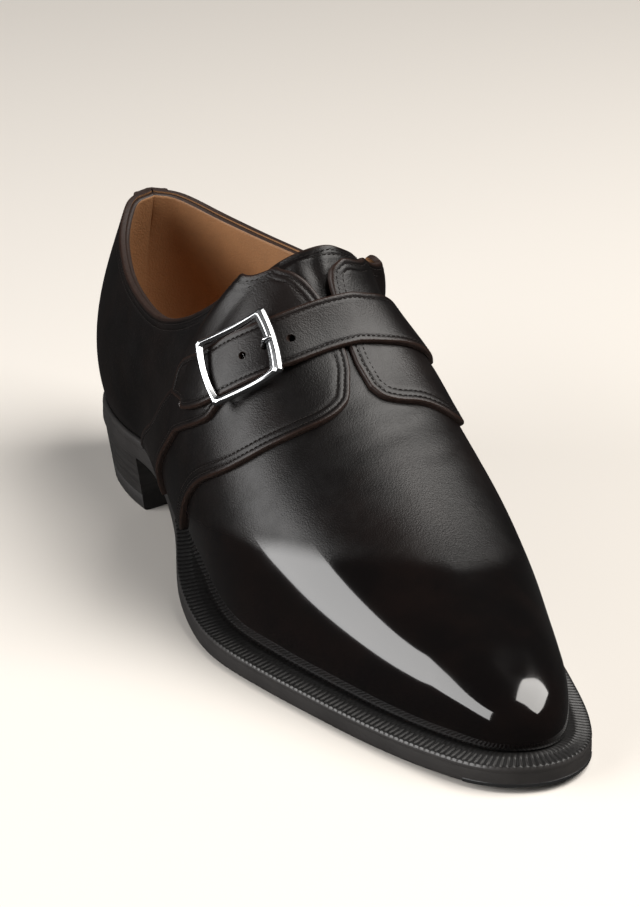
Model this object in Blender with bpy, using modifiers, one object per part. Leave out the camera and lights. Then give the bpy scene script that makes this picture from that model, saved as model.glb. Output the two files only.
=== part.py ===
"""A monk strap shoe for the right foot: every piece as a closed solid, in metres, +Z up.

The toe points to -Y and the inner (medial) side faces +X. The origin is the middle of the
heel's ground face. All leather pieces follow one surface, the last, which is worked out
from ribs: each rib climbs from the feather line at the sole to the rail, which is the
collar's edge at the back and the ridge of the vamp in front.
"""
import math
from collections import namedtuple

import bmesh
import bpy
import numpy as np
from mathutils import Vector

# Driving dimensions
OUTSOLE_LENGTH = 0.310
BALL_WIDTH = 0.0915
INSTEP_HEIGHT = 0.122
HEEL_HEIGHT = 0.0205
HEEL_LENGTH = 0.062
TOE_SPRING = 0.002
OUTSOLE_THICK = 0.0048
WELT_THICK = 0.0032
WELT_LEDGE = 0.0075
SEAT_LEDGE = 0.0034
TOP_PIECE_THICK = 0.0060
INSOLE_THICK = 0.0026
UPPER_WALL = 0.0018
QUARTER_WALL = 0.0014
STRAP_WALL = 0.0014
STRAP_WIDTH = 0.0178
STRAP_POINT = 0.0110
TONGUE_WALL = 0.0018
TONGUE_GAP = 0.0013
TONGUE_RISE = 0.0012
TONGUE_FULLNESS = 0.38
HEEL_TAPER = 0.0032
EDGE_BEVEL = 0.0007
CLEARANCE = 0.0003

KEEP_FROM = 0.30
MEDIAL_FALL = math.radians(28)

# Buckle
BUCKLE_LENGTH = 0.0266
BUCKLE_WIDTH = 0.0238
BUCKLE_BAR = 0.0024
BUCKLE_FRONT_BAR = 0.0038
BUCKLE_THICK = 0.0019
BUCKLE_BOW = 0.0012
PIN_RADIUS = 0.0006
PRONG_RADIUS = 0.0006
HOLE_RADIUS = 0.0013
HOLE_SPACING = 0.0160
HOLE_AT = -0.0012

# Heights of the leather layers over the last's surface
LAYER_GAP = 0.0006
QUARTER_BASE = LAYER_GAP
QUARTER_TOP = QUARTER_BASE + QUARTER_WALL
BAND_BASE = QUARTER_TOP + LAYER_GAP
BAND_TOP = BAND_BASE + STRAP_WALL
FREE_STRAP_BASE = BAND_TOP + LAYER_GAP
HEEL_CENTRE = 0.034

# Heights of the buckle over the strap's middle at its centre
PIN_HEIGHT = 0.0030
FRAME_HEIGHT = 0.0026
PRONG_END_LIFT = 0.0034
STRAP_END_LIFT = 0.0026

# Sole outline: shares of BALL_WIDTH on each side of the foot's axis
SoleRow = namedtuple("SoleRow", "share lateral medial")
SOLE = (
    SoleRow(0.00, 0.000, 0.000),
    SoleRow(0.03, 0.208, 0.208),
    SoleRow(0.08, 0.292, 0.290),
    SoleRow(0.16, 0.330, 0.322),
    SoleRow(0.26, 0.315, 0.262),
    SoleRow(0.36, 0.378, 0.250),
    SoleRow(0.48, 0.520, 0.345),
    SoleRow(0.60, 0.550, 0.485),
    SoleRow(0.68, 0.495, 0.520),
    SoleRow(0.76, 0.420, 0.500),
    SoleRow(0.84, 0.338, 0.440),
    SoleRow(0.92, 0.235, 0.356),
    SoleRow(0.97, 0.140, 0.266),
    SoleRow(1.00, -0.071, 0.071),
)

# Ridge of the vamp: along in shares of OUTSOLE_LENGTH, across of BALL_WIDTH, height of INSTEP_HEIGHT
CrestRow = namedtuple("CrestRow", "share along across height")
CREST = (
    CrestRow(0.42, 0.474, 0.098, 1.000),
    CrestRow(0.46, 0.497, 0.087, 0.910),
    CrestRow(0.52, 0.534, 0.090, 0.775),
    CrestRow(0.60, 0.598, 0.085, 0.640),
    CrestRow(0.68, 0.667, 0.085, 0.530),
    CrestRow(0.76, 0.735, 0.085, 0.436),
    CrestRow(0.84, 0.797, 0.080, 0.366),
    CrestRow(0.92, 0.848, 0.075, 0.318),
    CrestRow(0.97, 0.880, 0.070, 0.290),
    CrestRow(1.00, 0.897, 0.065, 0.272),
)

# Collar edge, in the same shares, with its own columns for each side
CollarRow = namedtuple("CollarRow", "share along lateral medial lateral_height medial_height")
COLLAR = (
    CollarRow(0.00, 0.027, 0.000, 0.000, 0.807, 0.807),
    CollarRow(0.03, 0.045, 0.115, 0.115, 0.783, 0.787),
    CollarRow(0.08, 0.097, 0.208, 0.212, 0.722, 0.755),
    CollarRow(0.15, 0.187, 0.279, 0.305, 0.668, 0.742),
    CollarRow(0.22, 0.284, 0.295, 0.355, 0.664, 0.758),
    CollarRow(0.28, 0.361, 0.268, 0.345, 0.738, 0.812),
    CollarRow(0.33, 0.419, 0.208, 0.305, 0.844, 0.885),
    CollarRow(0.38, 0.455, 0.087, 0.225, 0.972, 0.960),
    CollarRow(0.42, 0.474, -0.098, 0.098, 1.000, 1.000),
)

# Walls: outward flare at the feather, and how far each end of a rib keeps its direction
WallRow = namedtuple("WallRow", "share flare lateral_rise medial_rise lateral_round medial_round lean")
WALL = (
    WallRow(0.00, 0.30, 0.42, 0.42, 0.30, 0.30, 0.34),
    WallRow(0.08, 0.32, 0.42, 0.42, 0.30, 0.30, 0.26),
    WallRow(0.22, 0.40, 0.38, 0.38, 0.34, 0.32, 0.10),
    WallRow(0.30, 0.38, 0.40, 0.42, 0.30, 0.28, 0.30),
    WallRow(0.36, 0.36, 0.42, 0.46, 0.11, 0.18, 0.60),
    WallRow(0.40, 0.30, 0.43, 0.52, 0.21, 0.18, 0.80),
    WallRow(0.43, 0.26, 0.435, 0.58, 0.30, 0.18, 1.00),
    WallRow(0.46, 0.22, 0.44, 0.58, 0.34, 0.30, 1.00),
    WallRow(0.60, 0.15, 0.42, 0.58, 0.42, 0.50, 1.00),
    WallRow(0.76, 0.12, 0.40, 0.56, 0.46, 0.56, 1.00),
    WallRow(0.92, 0.10, 0.42, 0.50, 0.50, 0.50, 1.00),
    WallRow(1.00, 0.08, 0.52, 0.52, 0.46, 0.46, 1.00),
)

# The upper's top edge on each rib between the collar and the closed vamp
ThroatRow = namedtuple("ThroatRow", "share lateral medial")
THROAT = (
    ThroatRow(0.300, 0.990, 0.990),
    ThroatRow(0.326, 0.975, 0.975),
    ThroatRow(0.340, 0.925, 0.925),
    ThroatRow(0.352, 0.855, 0.835),
    ThroatRow(0.368, 0.775, 0.745),
    ThroatRow(0.385, 0.720, 0.670),
    ThroatRow(0.398, 0.700, 0.640),
    ThroatRow(0.412, 0.710, 0.670),
    ThroatRow(0.426, 0.745, 0.750),
    ThroatRow(0.438, 0.795, 0.810),
    ThroatRow(0.455, 0.840, 0.890),
    ThroatRow(0.480, 0.880, 0.915),
    ThroatRow(0.512, 0.935, 0.945),
)
VAMP_START = 0.524

# Quarters: each row is one strip, from the quarter's lower edge to its upper edge.
# share names the rib; up runs along it from the feather (0) over the ridge (1) to the other side.
QuarterRow = namedtuple("QuarterRow", "low_share low_up high_share high_up")
QUARTER_REAR = (
    QuarterRow(0.000, 0.012, 0.000, 1.000),
    QuarterRow(0.050, 0.012, 0.050, 1.000),
    QuarterRow(0.100, 0.012, 0.100, 1.000),
    QuarterRow(0.160, 0.012, 0.160, 1.000),
    QuarterRow(0.220, 0.012, 0.220, 1.000),
    QuarterRow(0.280, 0.012, 0.270, 1.000),
    QuarterRow(0.340, 0.012, 0.310, 1.000),
    QuarterRow(0.390, 0.012, 0.330, 1.000),
    QuarterRow(0.420, 0.040, 0.345, 0.955),
    QuarterRow(0.452, 0.150, 0.362, 0.870),
)
QUARTER_FRONT = {
    "lateral": (
        QuarterRow(0.487, 0.264, 0.381, 0.798),
        QuarterRow(0.520, 0.355, 0.397, 0.766),
        QuarterRow(0.545, 0.435, 0.411, 0.768),
        QuarterRow(0.564, 0.520, 0.425, 0.795),
        QuarterRow(0.578, 0.605, 0.437, 0.842),
        QuarterRow(0.587, 0.672, 0.450, 0.878),
        QuarterRow(0.593, 0.735, 0.466, 0.906),
        QuarterRow(0.597, 0.800, 0.485, 0.929),
        QuarterRow(0.595, 0.858, 0.512, 0.946),
        QuarterRow(0.587, 0.902, 0.538, 0.950),
        QuarterRow(0.576, 0.921, 0.555, 0.944),
    ),
    "medial": (
        QuarterRow(0.487, 0.264, 0.383, 0.820),
        QuarterRow(0.520, 0.355, 0.401, 0.800),
        QuarterRow(0.550, 0.440, 0.416, 0.812),
        QuarterRow(0.580, 0.530, 0.427, 0.850),
        QuarterRow(0.599, 0.620, 0.433, 0.902),
        QuarterRow(0.605, 0.700, 0.436, 0.955),
        QuarterRow(0.603, 0.780, 0.441, 1.004),
        QuarterRow(0.600, 0.860, 0.452, 1.042),
        QuarterRow(0.599, 0.930, 0.480, 1.042),
        QuarterRow(0.592, 0.985, 0.516, 1.038),
        QuarterRow(0.578, 1.016, 0.550, 1.032),
    ),
}

# Tongue: rows from its base under the vamp to its top edge, on both sides of the ridge
TongueRow = namedtuple("TongueRow", "edge_share edge_up ridge_share")
TONGUE = (
    TongueRow(0.585, 0.780, 0.590),
    TongueRow(0.540, 0.750, 0.555),
    TongueRow(0.485, 0.700, 0.510),
    TongueRow(0.436, 0.655, 0.466),
    TongueRow(0.385, 0.670, 0.436),
    TongueRow(0.331, 0.960, 0.4205),
)

# Bands: rear edge and front edge, up measured from the band's own side
BandRow = namedtuple("BandRow", "rear_share rear_up front_share front_up")
LATERAL_BAND = (
    BandRow(0.222, 0.012, 0.338, 0.012),
    BandRow(0.248, 0.130, 0.356, 0.120),
    BandRow(0.290, 0.250, 0.398, 0.225),
    BandRow(0.345, 0.330, 0.440, 0.320),
    BandRow(0.392, 0.395, 0.466, 0.385),
    BandRow(0.414, 0.455, 0.484, 0.445),
    BandRow(0.432, 0.520, 0.491, 0.510),
    BandRow(0.448, 0.590, 0.502, 0.582),
)
MEDIAL_BAND = (
    BandRow(0.230, 0.012, 0.350, 0.012),
    BandRow(0.262, 0.120, 0.376, 0.110),
    BandRow(0.312, 0.250, 0.418, 0.235),
    BandRow(0.368, 0.370, 0.462, 0.350),
    BandRow(0.418, 0.470, 0.490, 0.460),
    BandRow(0.454, 0.570, 0.510, 0.560),
)
# The free strap's middle line goes on from the medial band, over the ridge and through the buckle
StrapRow = namedtuple("StrapRow", "share up")
FREE_STRAP = (
    StrapRow(0.485, 0.602),
    StrapRow(0.494, 0.700),
    StrapRow(0.499, 0.830),
    StrapRow(0.502, 0.960),
    StrapRow(0.502, 1.090),
    StrapRow(0.499, 1.210),
    StrapRow(0.491, 1.300),
    StrapRow(0.480, 1.380),
    StrapRow(0.465, 1.465),
    StrapRow(0.442, 1.550),
    StrapRow(0.402, 1.634),
)
BUCKLE_AT = 1.366


def angle_of(share):
    """A rib's angle from its share of the sole's length: ribs crowd towards both ends."""
    return math.acos(max(-1.0, min(1.0, 1.0 - 2.0 * share)))


def share_of(angle):
    return (1.0 - math.cos(angle)) / 2.0


def hermite(x, y, at):
    """A smooth curve through the points x, y."""
    at = min(max(at, x[0]), x[-1])
    k = min(max(sum(1 for value in x if value <= at) - 1, 0), len(x) - 2)

    def slope(i):
        low, high = max(i - 1, 0), min(i + 1, len(x) - 1)
        if i in (low, high):
            return (y[high] - y[low]) / (x[high] - x[low])
        before = (y[i] - y[low]) / (x[i] - x[low])
        after = (y[high] - y[i]) / (x[high] - x[i])
        return (before * (x[high] - x[i]) + after * (x[i] - x[low])) / (x[high] - x[low])

    width = x[k + 1] - x[k]
    t = (at - x[k]) / width
    start = (2 * t**3 - 3 * t**2 + 1) * y[k] + (t**3 - 2 * t**2 + t) * width * slope(k)
    end = (3 * t**2 - 2 * t**3) * y[k + 1] + (t**3 - t**2) * width * slope(k + 1)
    return start + end


def column(rows, name, angle):
    """One column of a table of ribs, as a smooth curve against the rib's angle."""
    return hermite([angle_of(row.share) for row in rows], [getattr(row, name) for row in rows], angle)


def blend_rows(rows, at):
    """A row between rows, at a place counted in rows."""
    places = list(range(len(rows)))
    return type(rows[0])(*(hermite(places, values, at) for values in zip(*rows)))


def ease(value, low, high):
    t = min(max((value - low) / (high - low), 0.0), 1.0)
    return t * t * (3 - 2 * t)


def side_name(side):
    return "lateral" if side < 0 else "medial"


def unit(vector):
    return vector / np.linalg.norm(vector)


def under_height(share):
    """The outsole's underside over the floor: heel seat, arch, flat tread and toe spring."""
    seat_end = (HEEL_LENGTH + 0.003) / OUTSOLE_LENGTH
    arch = HEEL_HEIGHT * ease(1 - share, 1 - 0.585, 1 - seat_end)
    toe = TOE_SPRING * max(0.0, (share - 0.80) / 0.20) ** 1.8
    return arch + toe


def outline(angle, side):
    """The sole's outline; side is -1 on the lateral half and +1 on the medial half."""
    across = BALL_WIDTH * column(SOLE, side_name(side), angle)
    return np.array([side * across, HEEL_CENTRE - OUTSOLE_LENGTH * share_of(angle), 0.0])


def outline_normal(angle, side):
    step = 0.01
    low, high = angle - step, angle + step
    before = outline(low, side) if low >= 0 else outline(-low, -side)
    after = outline(high, side) if high <= math.pi else outline(2 * math.pi - high, -side)
    along = after - before
    return unit(np.array([-along[1], along[0], 0.0]) * side)


def ledge(share):
    """How far the sole stands out from the upper."""
    waist = ease(share, 0.20, 0.30) * (1 - ease(share, 0.36, 0.50))
    front = ease(share, 0.34, 0.50)
    return SEAT_LEDGE * (1 - front) * (1 - 0.6 * waist) + WELT_LEDGE * front


def inset_outline(angle, side, inset, height):
    point = outline(angle, side) - inset * outline_normal(angle, side)
    point[2] = under_height(share_of(angle)) + height
    return point


def feather(angle, side):
    """Where the last meets the sole."""
    return inset_outline(angle, side, ledge(share_of(angle)), OUTSOLE_THICK + WELT_THICK + 2 * CLEARANCE)


def rail(angle, side):
    """The collar's edge behind the tongue's top, and the ridge of the vamp in front of it."""
    if share_of(angle) >= CREST[0].share:
        x = BALL_WIDTH * column(CREST, "across", angle)
        y = HEEL_CENTRE - OUTSOLE_LENGTH * column(CREST, "along", angle)
        return np.array([x, y, INSTEP_HEIGHT * column(CREST, "height", angle)])
    name = side_name(side)
    x = side * BALL_WIDTH * column(COLLAR, name, angle)
    y = HEEL_CENTRE - OUTSOLE_LENGTH * column(COLLAR, "along", angle)
    return np.array([x, y, INSTEP_HEIGHT * column(COLLAR, name + "_height", angle)])


def arrival(angle, side):
    """The direction in which a rib reaches the rail."""
    share = share_of(angle)
    fall = MEDIAL_FALL * (1 - ease(share, 0.43, 0.55)) if side > 0 else 0.0
    across = np.array([-side * math.cos(fall), 0.0, math.sin(fall)])
    if share > CREST[0].share:
        step = 0.02
        before = rail(max(angle - step, angle_of(CREST[0].share)), side)
        spine = unit(before - rail(min(angle + step, math.pi), side))
        turn = math.sin(0.5 * math.pi * max(0.0, (share - 0.90) / 0.10))
        return unit(across * math.sqrt(max(0.0, 1 - turn * turn)) + spine * turn)
    upward = unit(np.array([0.0, 0.0, 1.0]) - column(WALL, "lean", angle) * outline_normal(angle, side))
    keep = 1 - ease(share, KEEP_FROM, CREST[0].share)
    return unit(upward * keep + across * (1 - keep))


def rib(angle, side):
    """The four control points of a rib, a cubic curve from the feather to the rail."""
    low, high = feather(angle, side), rail(angle, side)
    chord = np.linalg.norm(high - low)
    start = unit(np.array([0.0, 0.0, 1.0]) + column(WALL, "flare", angle) * outline_normal(angle, side))
    rise = column(WALL, side_name(side) + "_rise", angle)
    roundness = column(WALL, side_name(side) + "_round", angle)
    return low, low + rise * chord * start, high - roundness * chord * arrival(angle, side), high


def settle(share, side, up):
    """A place past the heel's back or past the ridge, told as a place on the other side."""
    if share < 0:
        share, side = -share, -side
    if up > 1.1 or (up > 1 and share >= CREST[0].share):
        side, up = -side, 2 - up
    return share, side, min(up, 1.0)


def surface(share, side, up):
    """A point of the last's surface. Past the ridge, up goes on down the other side."""
    share, side, up = settle(share, side, up)
    p0, p1, p2, p3 = rib(angle_of(share), side)
    down = 1 - up
    return down**3 * p0 + 3 * down * down * up * p1 + 3 * down * up * up * p2 + up**3 * p3


def one_normal(share, side, up):
    step = 0.004
    along = surface(min(share + step, 0.9995), side, up) - surface(share - step, side, up)
    climb = surface(share, side, min(up + step, 1.0)) - surface(share, side, max(up - step, 0.0))
    return unit(np.cross(climb, along) * side)


def surface_normal(share, side, up):
    """The last's outward normal, from differences; near the ridge both sides have their share."""
    share, side, up = settle(share, side, up)
    own = one_normal(share, side, min(up, 0.95))
    near_ridge = 0.5 * ease(up, 0.86, 1.0) * ease(share, 0.36, CREST[0].share)
    if near_ridge == 0:
        return own
    other = one_normal(share, -side, min(up, 0.95))
    return unit(own * (1 - near_ridge) + other * near_ridge)


def raised(share, side, up, height):
    return surface(share, side, up) + height * surface_normal(share, side, up)


def moved(place, vector):
    """The place on the last that lies nearest to another place moved by a vector."""
    share, side, up = place
    target = surface(share, side, up) + vector
    step = 0.002
    for _ in range(4):
        along = (surface(share + step, side, up) - surface(share - step, side, up)) / (2 * step)
        climb = (surface(share, side, up + step) - surface(share, side, up - step)) / (2 * step)
        slopes = np.array([along, climb])
        change = np.linalg.solve(slopes @ slopes.T, slopes @ (target - surface(share, side, up)))
        share, up = share + change[0], up + change[1]
    return share, side, up


def material(name, colour, roughness, metallic=0.0):
    made = bpy.data.materials.new(name)
    made.use_nodes = True
    shader = made.node_tree.nodes["Principled BSDF"]
    shader.inputs["Base Color"].default_value = (*colour, 1.0)
    shader.inputs["Roughness"].default_value = roughness
    shader.inputs["Metallic"].default_value = metallic
    made.diffuse_color = (*colour, 1.0)
    return made


def add_object(name, mesh, made_of, collection):
    made = bpy.data.objects.new(name, mesh)
    made.data.materials.append(made_of)
    mesh.shade_smooth()
    mesh.set_sharp_from_angle(angle=math.radians(35))
    collection.objects.link(made)
    return made


def loft(name, rows, closed_rows=False, closed_columns=False):
    """An open or closed skin over a grid of points; every row has as many points."""
    mesh = bpy.data.meshes.new(name)
    bm = bmesh.new()
    grid = [[bm.verts.new(point) for point in row] for row in rows]
    count, width = len(grid), len(grid[0])
    for i in range(count if closed_rows else count - 1):
        for j in range(width if closed_columns else width - 1):
            i2, j2 = (i + 1) % count, (j + 1) % width
            bm.faces.new((grid[i][j], grid[i][j2], grid[i2][j2], grid[i2][j]))
    return mesh, bm, grid


def finish_mesh(mesh, bm):
    bmesh.ops.remove_doubles(bm, verts=bm.verts, dist=1e-6)
    bmesh.ops.recalc_face_normals(bm, faces=bm.faces)
    bm.to_mesh(mesh)
    bm.free()
    return mesh


def outward(mesh, bm, outward_point, outward_direction):
    """Turns an open skin so that the face nearest a point looks the given way."""
    bmesh.ops.remove_doubles(bm, verts=bm.verts, dist=1e-6)
    bmesh.ops.recalc_face_normals(bm, faces=bm.faces)
    target = np.array(outward_point)
    nearest = min(bm.faces, key=lambda face: np.linalg.norm(np.array(face.calc_center_median()) - target))
    if np.dot(np.array(nearest.normal), outward_direction) < 0:
        bmesh.ops.reverse_faces(bm, faces=bm.faces)
    bm.to_mesh(mesh)
    bm.free()
    return mesh


def thicken(made, thickness, offset):
    """Solidify: offset 1 grows outward and -1 grows inward."""
    solid = made.modifiers.new("Thickness", "SOLIDIFY")
    solid.thickness = thickness
    solid.offset = offset
    solid.use_even_offset = True
    solid.use_quality_normals = True
    return made


def leather_plate(name, rows, height, thickness, made_of, collection):
    """A leather piece: a skin over (share, side, up) places, raised off the last and thickened outward."""
    points = [[raised(share, side, up, height) for share, side, up in row] for row in rows]
    mesh, bm, _ = loft(name, points)
    middle = rows[len(rows) // 2][len(rows[0]) // 2]
    outward(mesh, bm, raised(*middle, height), surface_normal(*middle))
    return thicken(add_object(name, mesh, made_of, collection), thickness, 1.0)


def spread(low, high, count):
    return [low + (high - low) * k / (count - 1) for k in range(count)]


def even_stations(point_at, last, count):
    """Values from 0 to last whose points lie at equal distances along their curve."""
    fine = spread(0.0, last, 241)
    points = [point_at(value) for value in fine]
    lengths = [0.0]
    for before, after in zip(points, points[1:]):
        lengths.append(lengths[-1] + float(np.linalg.norm(after - before)))
    return [float(value) for value in np.interp(spread(0.0, lengths[-1], count), lengths, fine)]


def upper_top(share, side):
    if share <= THROAT[0].share:
        return THROAT[0].lateral
    if share >= VAMP_START:
        return 1.0
    return hermite([row.share for row in THROAT], [getattr(row, side_name(side)) for row in THROAT], share)


def make_upper(made_of, collection):
    """Vamp and lining as one hollow shell, open at the collar and throat, and underneath."""
    shares = [share_of(angle) for angle in spread(0.0, angle_of(0.30), 12)]
    shares += [0.320, 0.336, 0.352, 0.368, 0.384, 0.400, 0.416, 0.434, 0.456, 0.480, 0.502]
    shares += [share_of(angle) for angle in spread(angle_of(VAMP_START), math.pi, 16)]
    steps = spread(0.0, 1.0, 10)
    loop = [(share, -1) for share in shares] + [(share, 1) for share in reversed(shares[1:-1])]
    rows = [[surface(share, side, up * upper_top(share, side)) for up in steps] for share, side in loop]
    mesh, bm, _ = loft("upper", rows, closed_rows=True)
    outward(mesh, bm, surface(0.7, -1, 0.4), surface_normal(0.7, -1, 0.4))
    return thicken(add_object("upper", mesh, made_of, collection), UPPER_WALL, -1.0)


def make_quarter(side, made_of, collection):
    table = QUARTER_REAR + QUARTER_FRONT[side_name(side)]
    seam = 0.00002
    rows = []

    def middle(at):
        row = blend_rows(table, at)
        return surface((row.low_share + row.high_share) / 2, side, (row.low_up + row.high_up) / 2)

    for at in even_stations(middle, len(table) - 1.0, 39):
        row = blend_rows(table, at)
        low_share, high_share = max(row.low_share, seam), max(row.high_share, seam)
        rows.append([
            (low_share + (high_share - low_share) * t, side, row.low_up + (row.high_up - row.low_up) * t)
            for t in spread(0.0, 1.0, 12)
        ])
    return leather_plate("quarter_" + side_name(side), rows, QUARTER_BASE, QUARTER_WALL, made_of, collection)


def tongue_half(row, side, count):
    """Half a row of the tongue: leaves its edge as the last does and meets the ridge level."""
    edge = surface(row.edge_share, side, row.edge_up)
    ridge = surface(row.ridge_share, side, 1.0)
    reach = TONGUE_FULLNESS * np.linalg.norm(ridge - edge)
    leaving = unit(surface(row.edge_share, side, row.edge_up + 0.03) - edge)
    arriving = arrival(angle_of(row.ridge_share), side)
    p1, p2 = edge + reach * leaving, ridge - reach * arriving
    curve = []
    for t in spread(0.0, 1.0, count):
        down = 1 - t
        curve.append(down**3 * edge + 3 * down * down * t * p1 + 3 * down * t * t * p2 + t**3 * ridge)
    return curve


def tongue_row(row, count):
    return tongue_half(row, -1, count) + tongue_half(row, 1, count)[-2::-1]


def make_tongue(made_of, collection):
    """The tongue lies inside the throat and rises over the flaps."""
    rows = [tongue_row(blend_rows(TONGUE, at), 7) for at in spread(0.0, len(TONGUE) - 1.0, 12)]
    rows[-1] = [last + TONGUE_RISE * unit(last - before) for last, before in zip(rows[-1], rows[-2])]
    mesh, bm, _ = loft("tongue", rows)
    outward(mesh, bm, surface(0.50, 1, 1.0), surface_normal(0.50, 1, 1.0))
    tongue = add_object("tongue", mesh, made_of, collection)
    normals = [vertex.normal.copy() for vertex in mesh.vertices]
    for vertex, normal in zip(mesh.vertices, normals):
        vertex.co -= normal * (UPPER_WALL + TONGUE_GAP)
    return thicken(tongue, TONGUE_WALL, -1.0)


def band_rows(table, side, count, across):
    rows = []
    for at in spread(0.0, len(table) - 1.0, count):
        row = blend_rows(table, at)
        rows.append([
            (row.rear_share + (row.front_share - row.rear_share) * t, side,
             row.rear_up + (row.front_up - row.rear_up) * t)
            for t in spread(0.0, 1.0, across)
        ])
    return rows


def make_band(name, table, side, count, made_of, collection):
    return leather_plate(name, band_rows(table, side, count, 5), BAND_BASE, STRAP_WALL, made_of, collection)


def strap_height(up):
    """The free strap climbs onto the lateral band at the buckle."""
    return BAND_BASE + (FREE_STRAP_BASE - BAND_BASE) * ease(up, 1.10, 1.30)


def strap_place(at):
    """A place on the strap's middle line, counted in rows."""
    row = blend_rows(FREE_STRAP, at)
    return row.share, 1, row.up


def strap_course():
    """The middle line's rows and its length up to each of them."""
    places = spread(0.0, len(FREE_STRAP) - 1.0, 81)
    points = [surface(*strap_place(at)) for at in places]
    lengths = [0.0]
    for before, after in zip(points, points[1:]):
        lengths.append(lengths[-1] + float(np.linalg.norm(after - before)))
    return places, lengths


def strap_frame(at):
    """The place, and the directions along and across the strap, for a point of its middle line."""
    last = len(FREE_STRAP) - 1.0
    place = strap_place(at)
    along = surface(*strap_place(min(at + 0.1, last))) - surface(*strap_place(max(at - 0.1, 0.0)))
    normal = surface_normal(*place)
    along = unit(along - normal * np.dot(along, normal))
    return place, along, np.cross(normal, along), normal


def strap_rows(count, across):
    """Rows of places over the whole free strap, drawn in to its blunt point."""
    places, lengths = strap_course()
    total = lengths[-1]
    straight = total - STRAP_POINT
    stations = spread(0.0, straight, count) + [straight + STRAP_POINT * t for t in (0.3, 0.55, 0.78, 0.93, 1.0)]
    rows = []
    for station in stations:
        place, along, sideways, _ = strap_frame(float(np.interp(station, lengths, places)))
        into_point = max(0.0, (station - straight) / STRAP_POINT)
        half = STRAP_WIDTH / 2 * max(0.05, 1 - into_point ** 1.4)
        rows.append([moved(place, sideways * half * k) for k in spread(-1.0, 1.0, across)])
    return rows


def make_free_strap(made_of, collection, cutters):
    """The free strap, with the hole for the prong and the next one cut through."""
    places = strap_rows(25, 5)
    points = [[raised(share, side, up, strap_height(up)) for share, side, up in row] for row in places]
    mesh, bm, _ = loft("strap", points)
    place = places[12][2]
    outward(mesh, bm, raised(*place, BAND_BASE), surface_normal(*place))
    strap = thicken(add_object("strap", mesh, made_of, collection), STRAP_WALL, 1.0)
    axes = buckle_frame_axes()
    for number, along in enumerate((HOLE_AT, HOLE_AT - HOLE_SPACING)):
        centre = buckle_point(axes, along, 0.0, FREE_STRAP_BASE - 0.0022 * number)
        cut_hole(strap, "hole_cutter_%d" % number, centre, axes[3], cutters)
    return strap


def cut_hole(strap, name, centre, direction, cutters):
    bpy.ops.mesh.primitive_cylinder_add(vertices=12, radius=HOLE_RADIUS, depth=0.012, location=centre)
    cutter = bpy.context.object
    cutter.name = name
    cutter.rotation_euler = Vector(direction).to_track_quat("Z", "Y").to_euler()
    for other in list(cutter.users_collection):
        other.objects.unlink(cutter)
    cutters.objects.link(cutter)
    cutter.hide_render = True
    cutter.display_type = "WIRE"
    cut = strap.modifiers.new("Hole", "BOOLEAN")
    cut.operation = "DIFFERENCE"
    cut.solver = "EXACT"
    cut.object = cutter


def make_heel_tab(made_of, collection):
    """The small stitched tab over the top of the back seam."""
    rows = []
    for up, half in ((0.74, 0.0035), (0.77, 0.0060), (0.84, 0.0072), (0.92, 0.0080), (0.985, 0.0085)):
        rows.append([(share, -1, up) for share in spread(-half, half, 5)])
    points = [[tab_point(share, up) for share, side, up in row] for row in rows]
    mesh, bm, _ = loft("heel_tab", points)
    outward(mesh, bm, points[2][2], np.array([0.0, 1.0, 0.0]))
    return thicken(add_object("heel_tab", mesh, made_of, collection), 0.0012, 1.0)


def tab_point(share, up):
    side = -1 if share <= 0 else 1
    place = max(abs(share), 1e-5)
    normal = surface_normal(max(place, 0.0005), side, up)
    return surface(place, side, up) + BAND_BASE * normal


def sole_solid(name, levels, low_share, high_share, count, made_of, collection, ends=True):
    """A plate across the whole sole between two shares; each level is an inset and a height function."""
    angles = spread(angle_of(low_share), angle_of(high_share), count)
    mesh = bpy.data.meshes.new(name)
    bm = bmesh.new()
    grid = []
    for angle in angles:
        lateral = [bm.verts.new(sole_point(angle, -1, inset, height)) for inset, height in levels]
        medial = [bm.verts.new(sole_point(angle, 1, inset, height)) for inset, height in levels]
        grid.append(lateral + medial[::-1])
    width = len(grid[0])
    for i in range(len(grid) - 1):
        for j in range(width):
            j2 = (j + 1) % width
            bm.faces.new((grid[i][j], grid[i][j2], grid[i + 1][j2], grid[i + 1][j]))
    bm.faces.new(grid[0])
    bm.faces.new(grid[-1][::-1])
    bmesh.ops.remove_doubles(bm, verts=bm.verts, dist=2e-5)
    bmesh.ops.recalc_face_normals(bm, faces=bm.faces)
    bm.to_mesh(mesh)
    bm.free()
    return add_object(name, mesh, made_of, collection)


def sole_point(angle, side, inset, height):
    return inset_outline(angle, side, inset, height)


def make_outsole(made_of, collection):
    """Leather outsole with a bevelled lower edge, its toe cut back for the steel plate."""
    levels = [(EDGE_BEVEL, 0.0), (0.0, EDGE_BEVEL), (0.0, OUTSOLE_THICK)]
    return sole_solid("outsole", levels, 0.0, 1.0, 50, made_of, collection)


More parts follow.
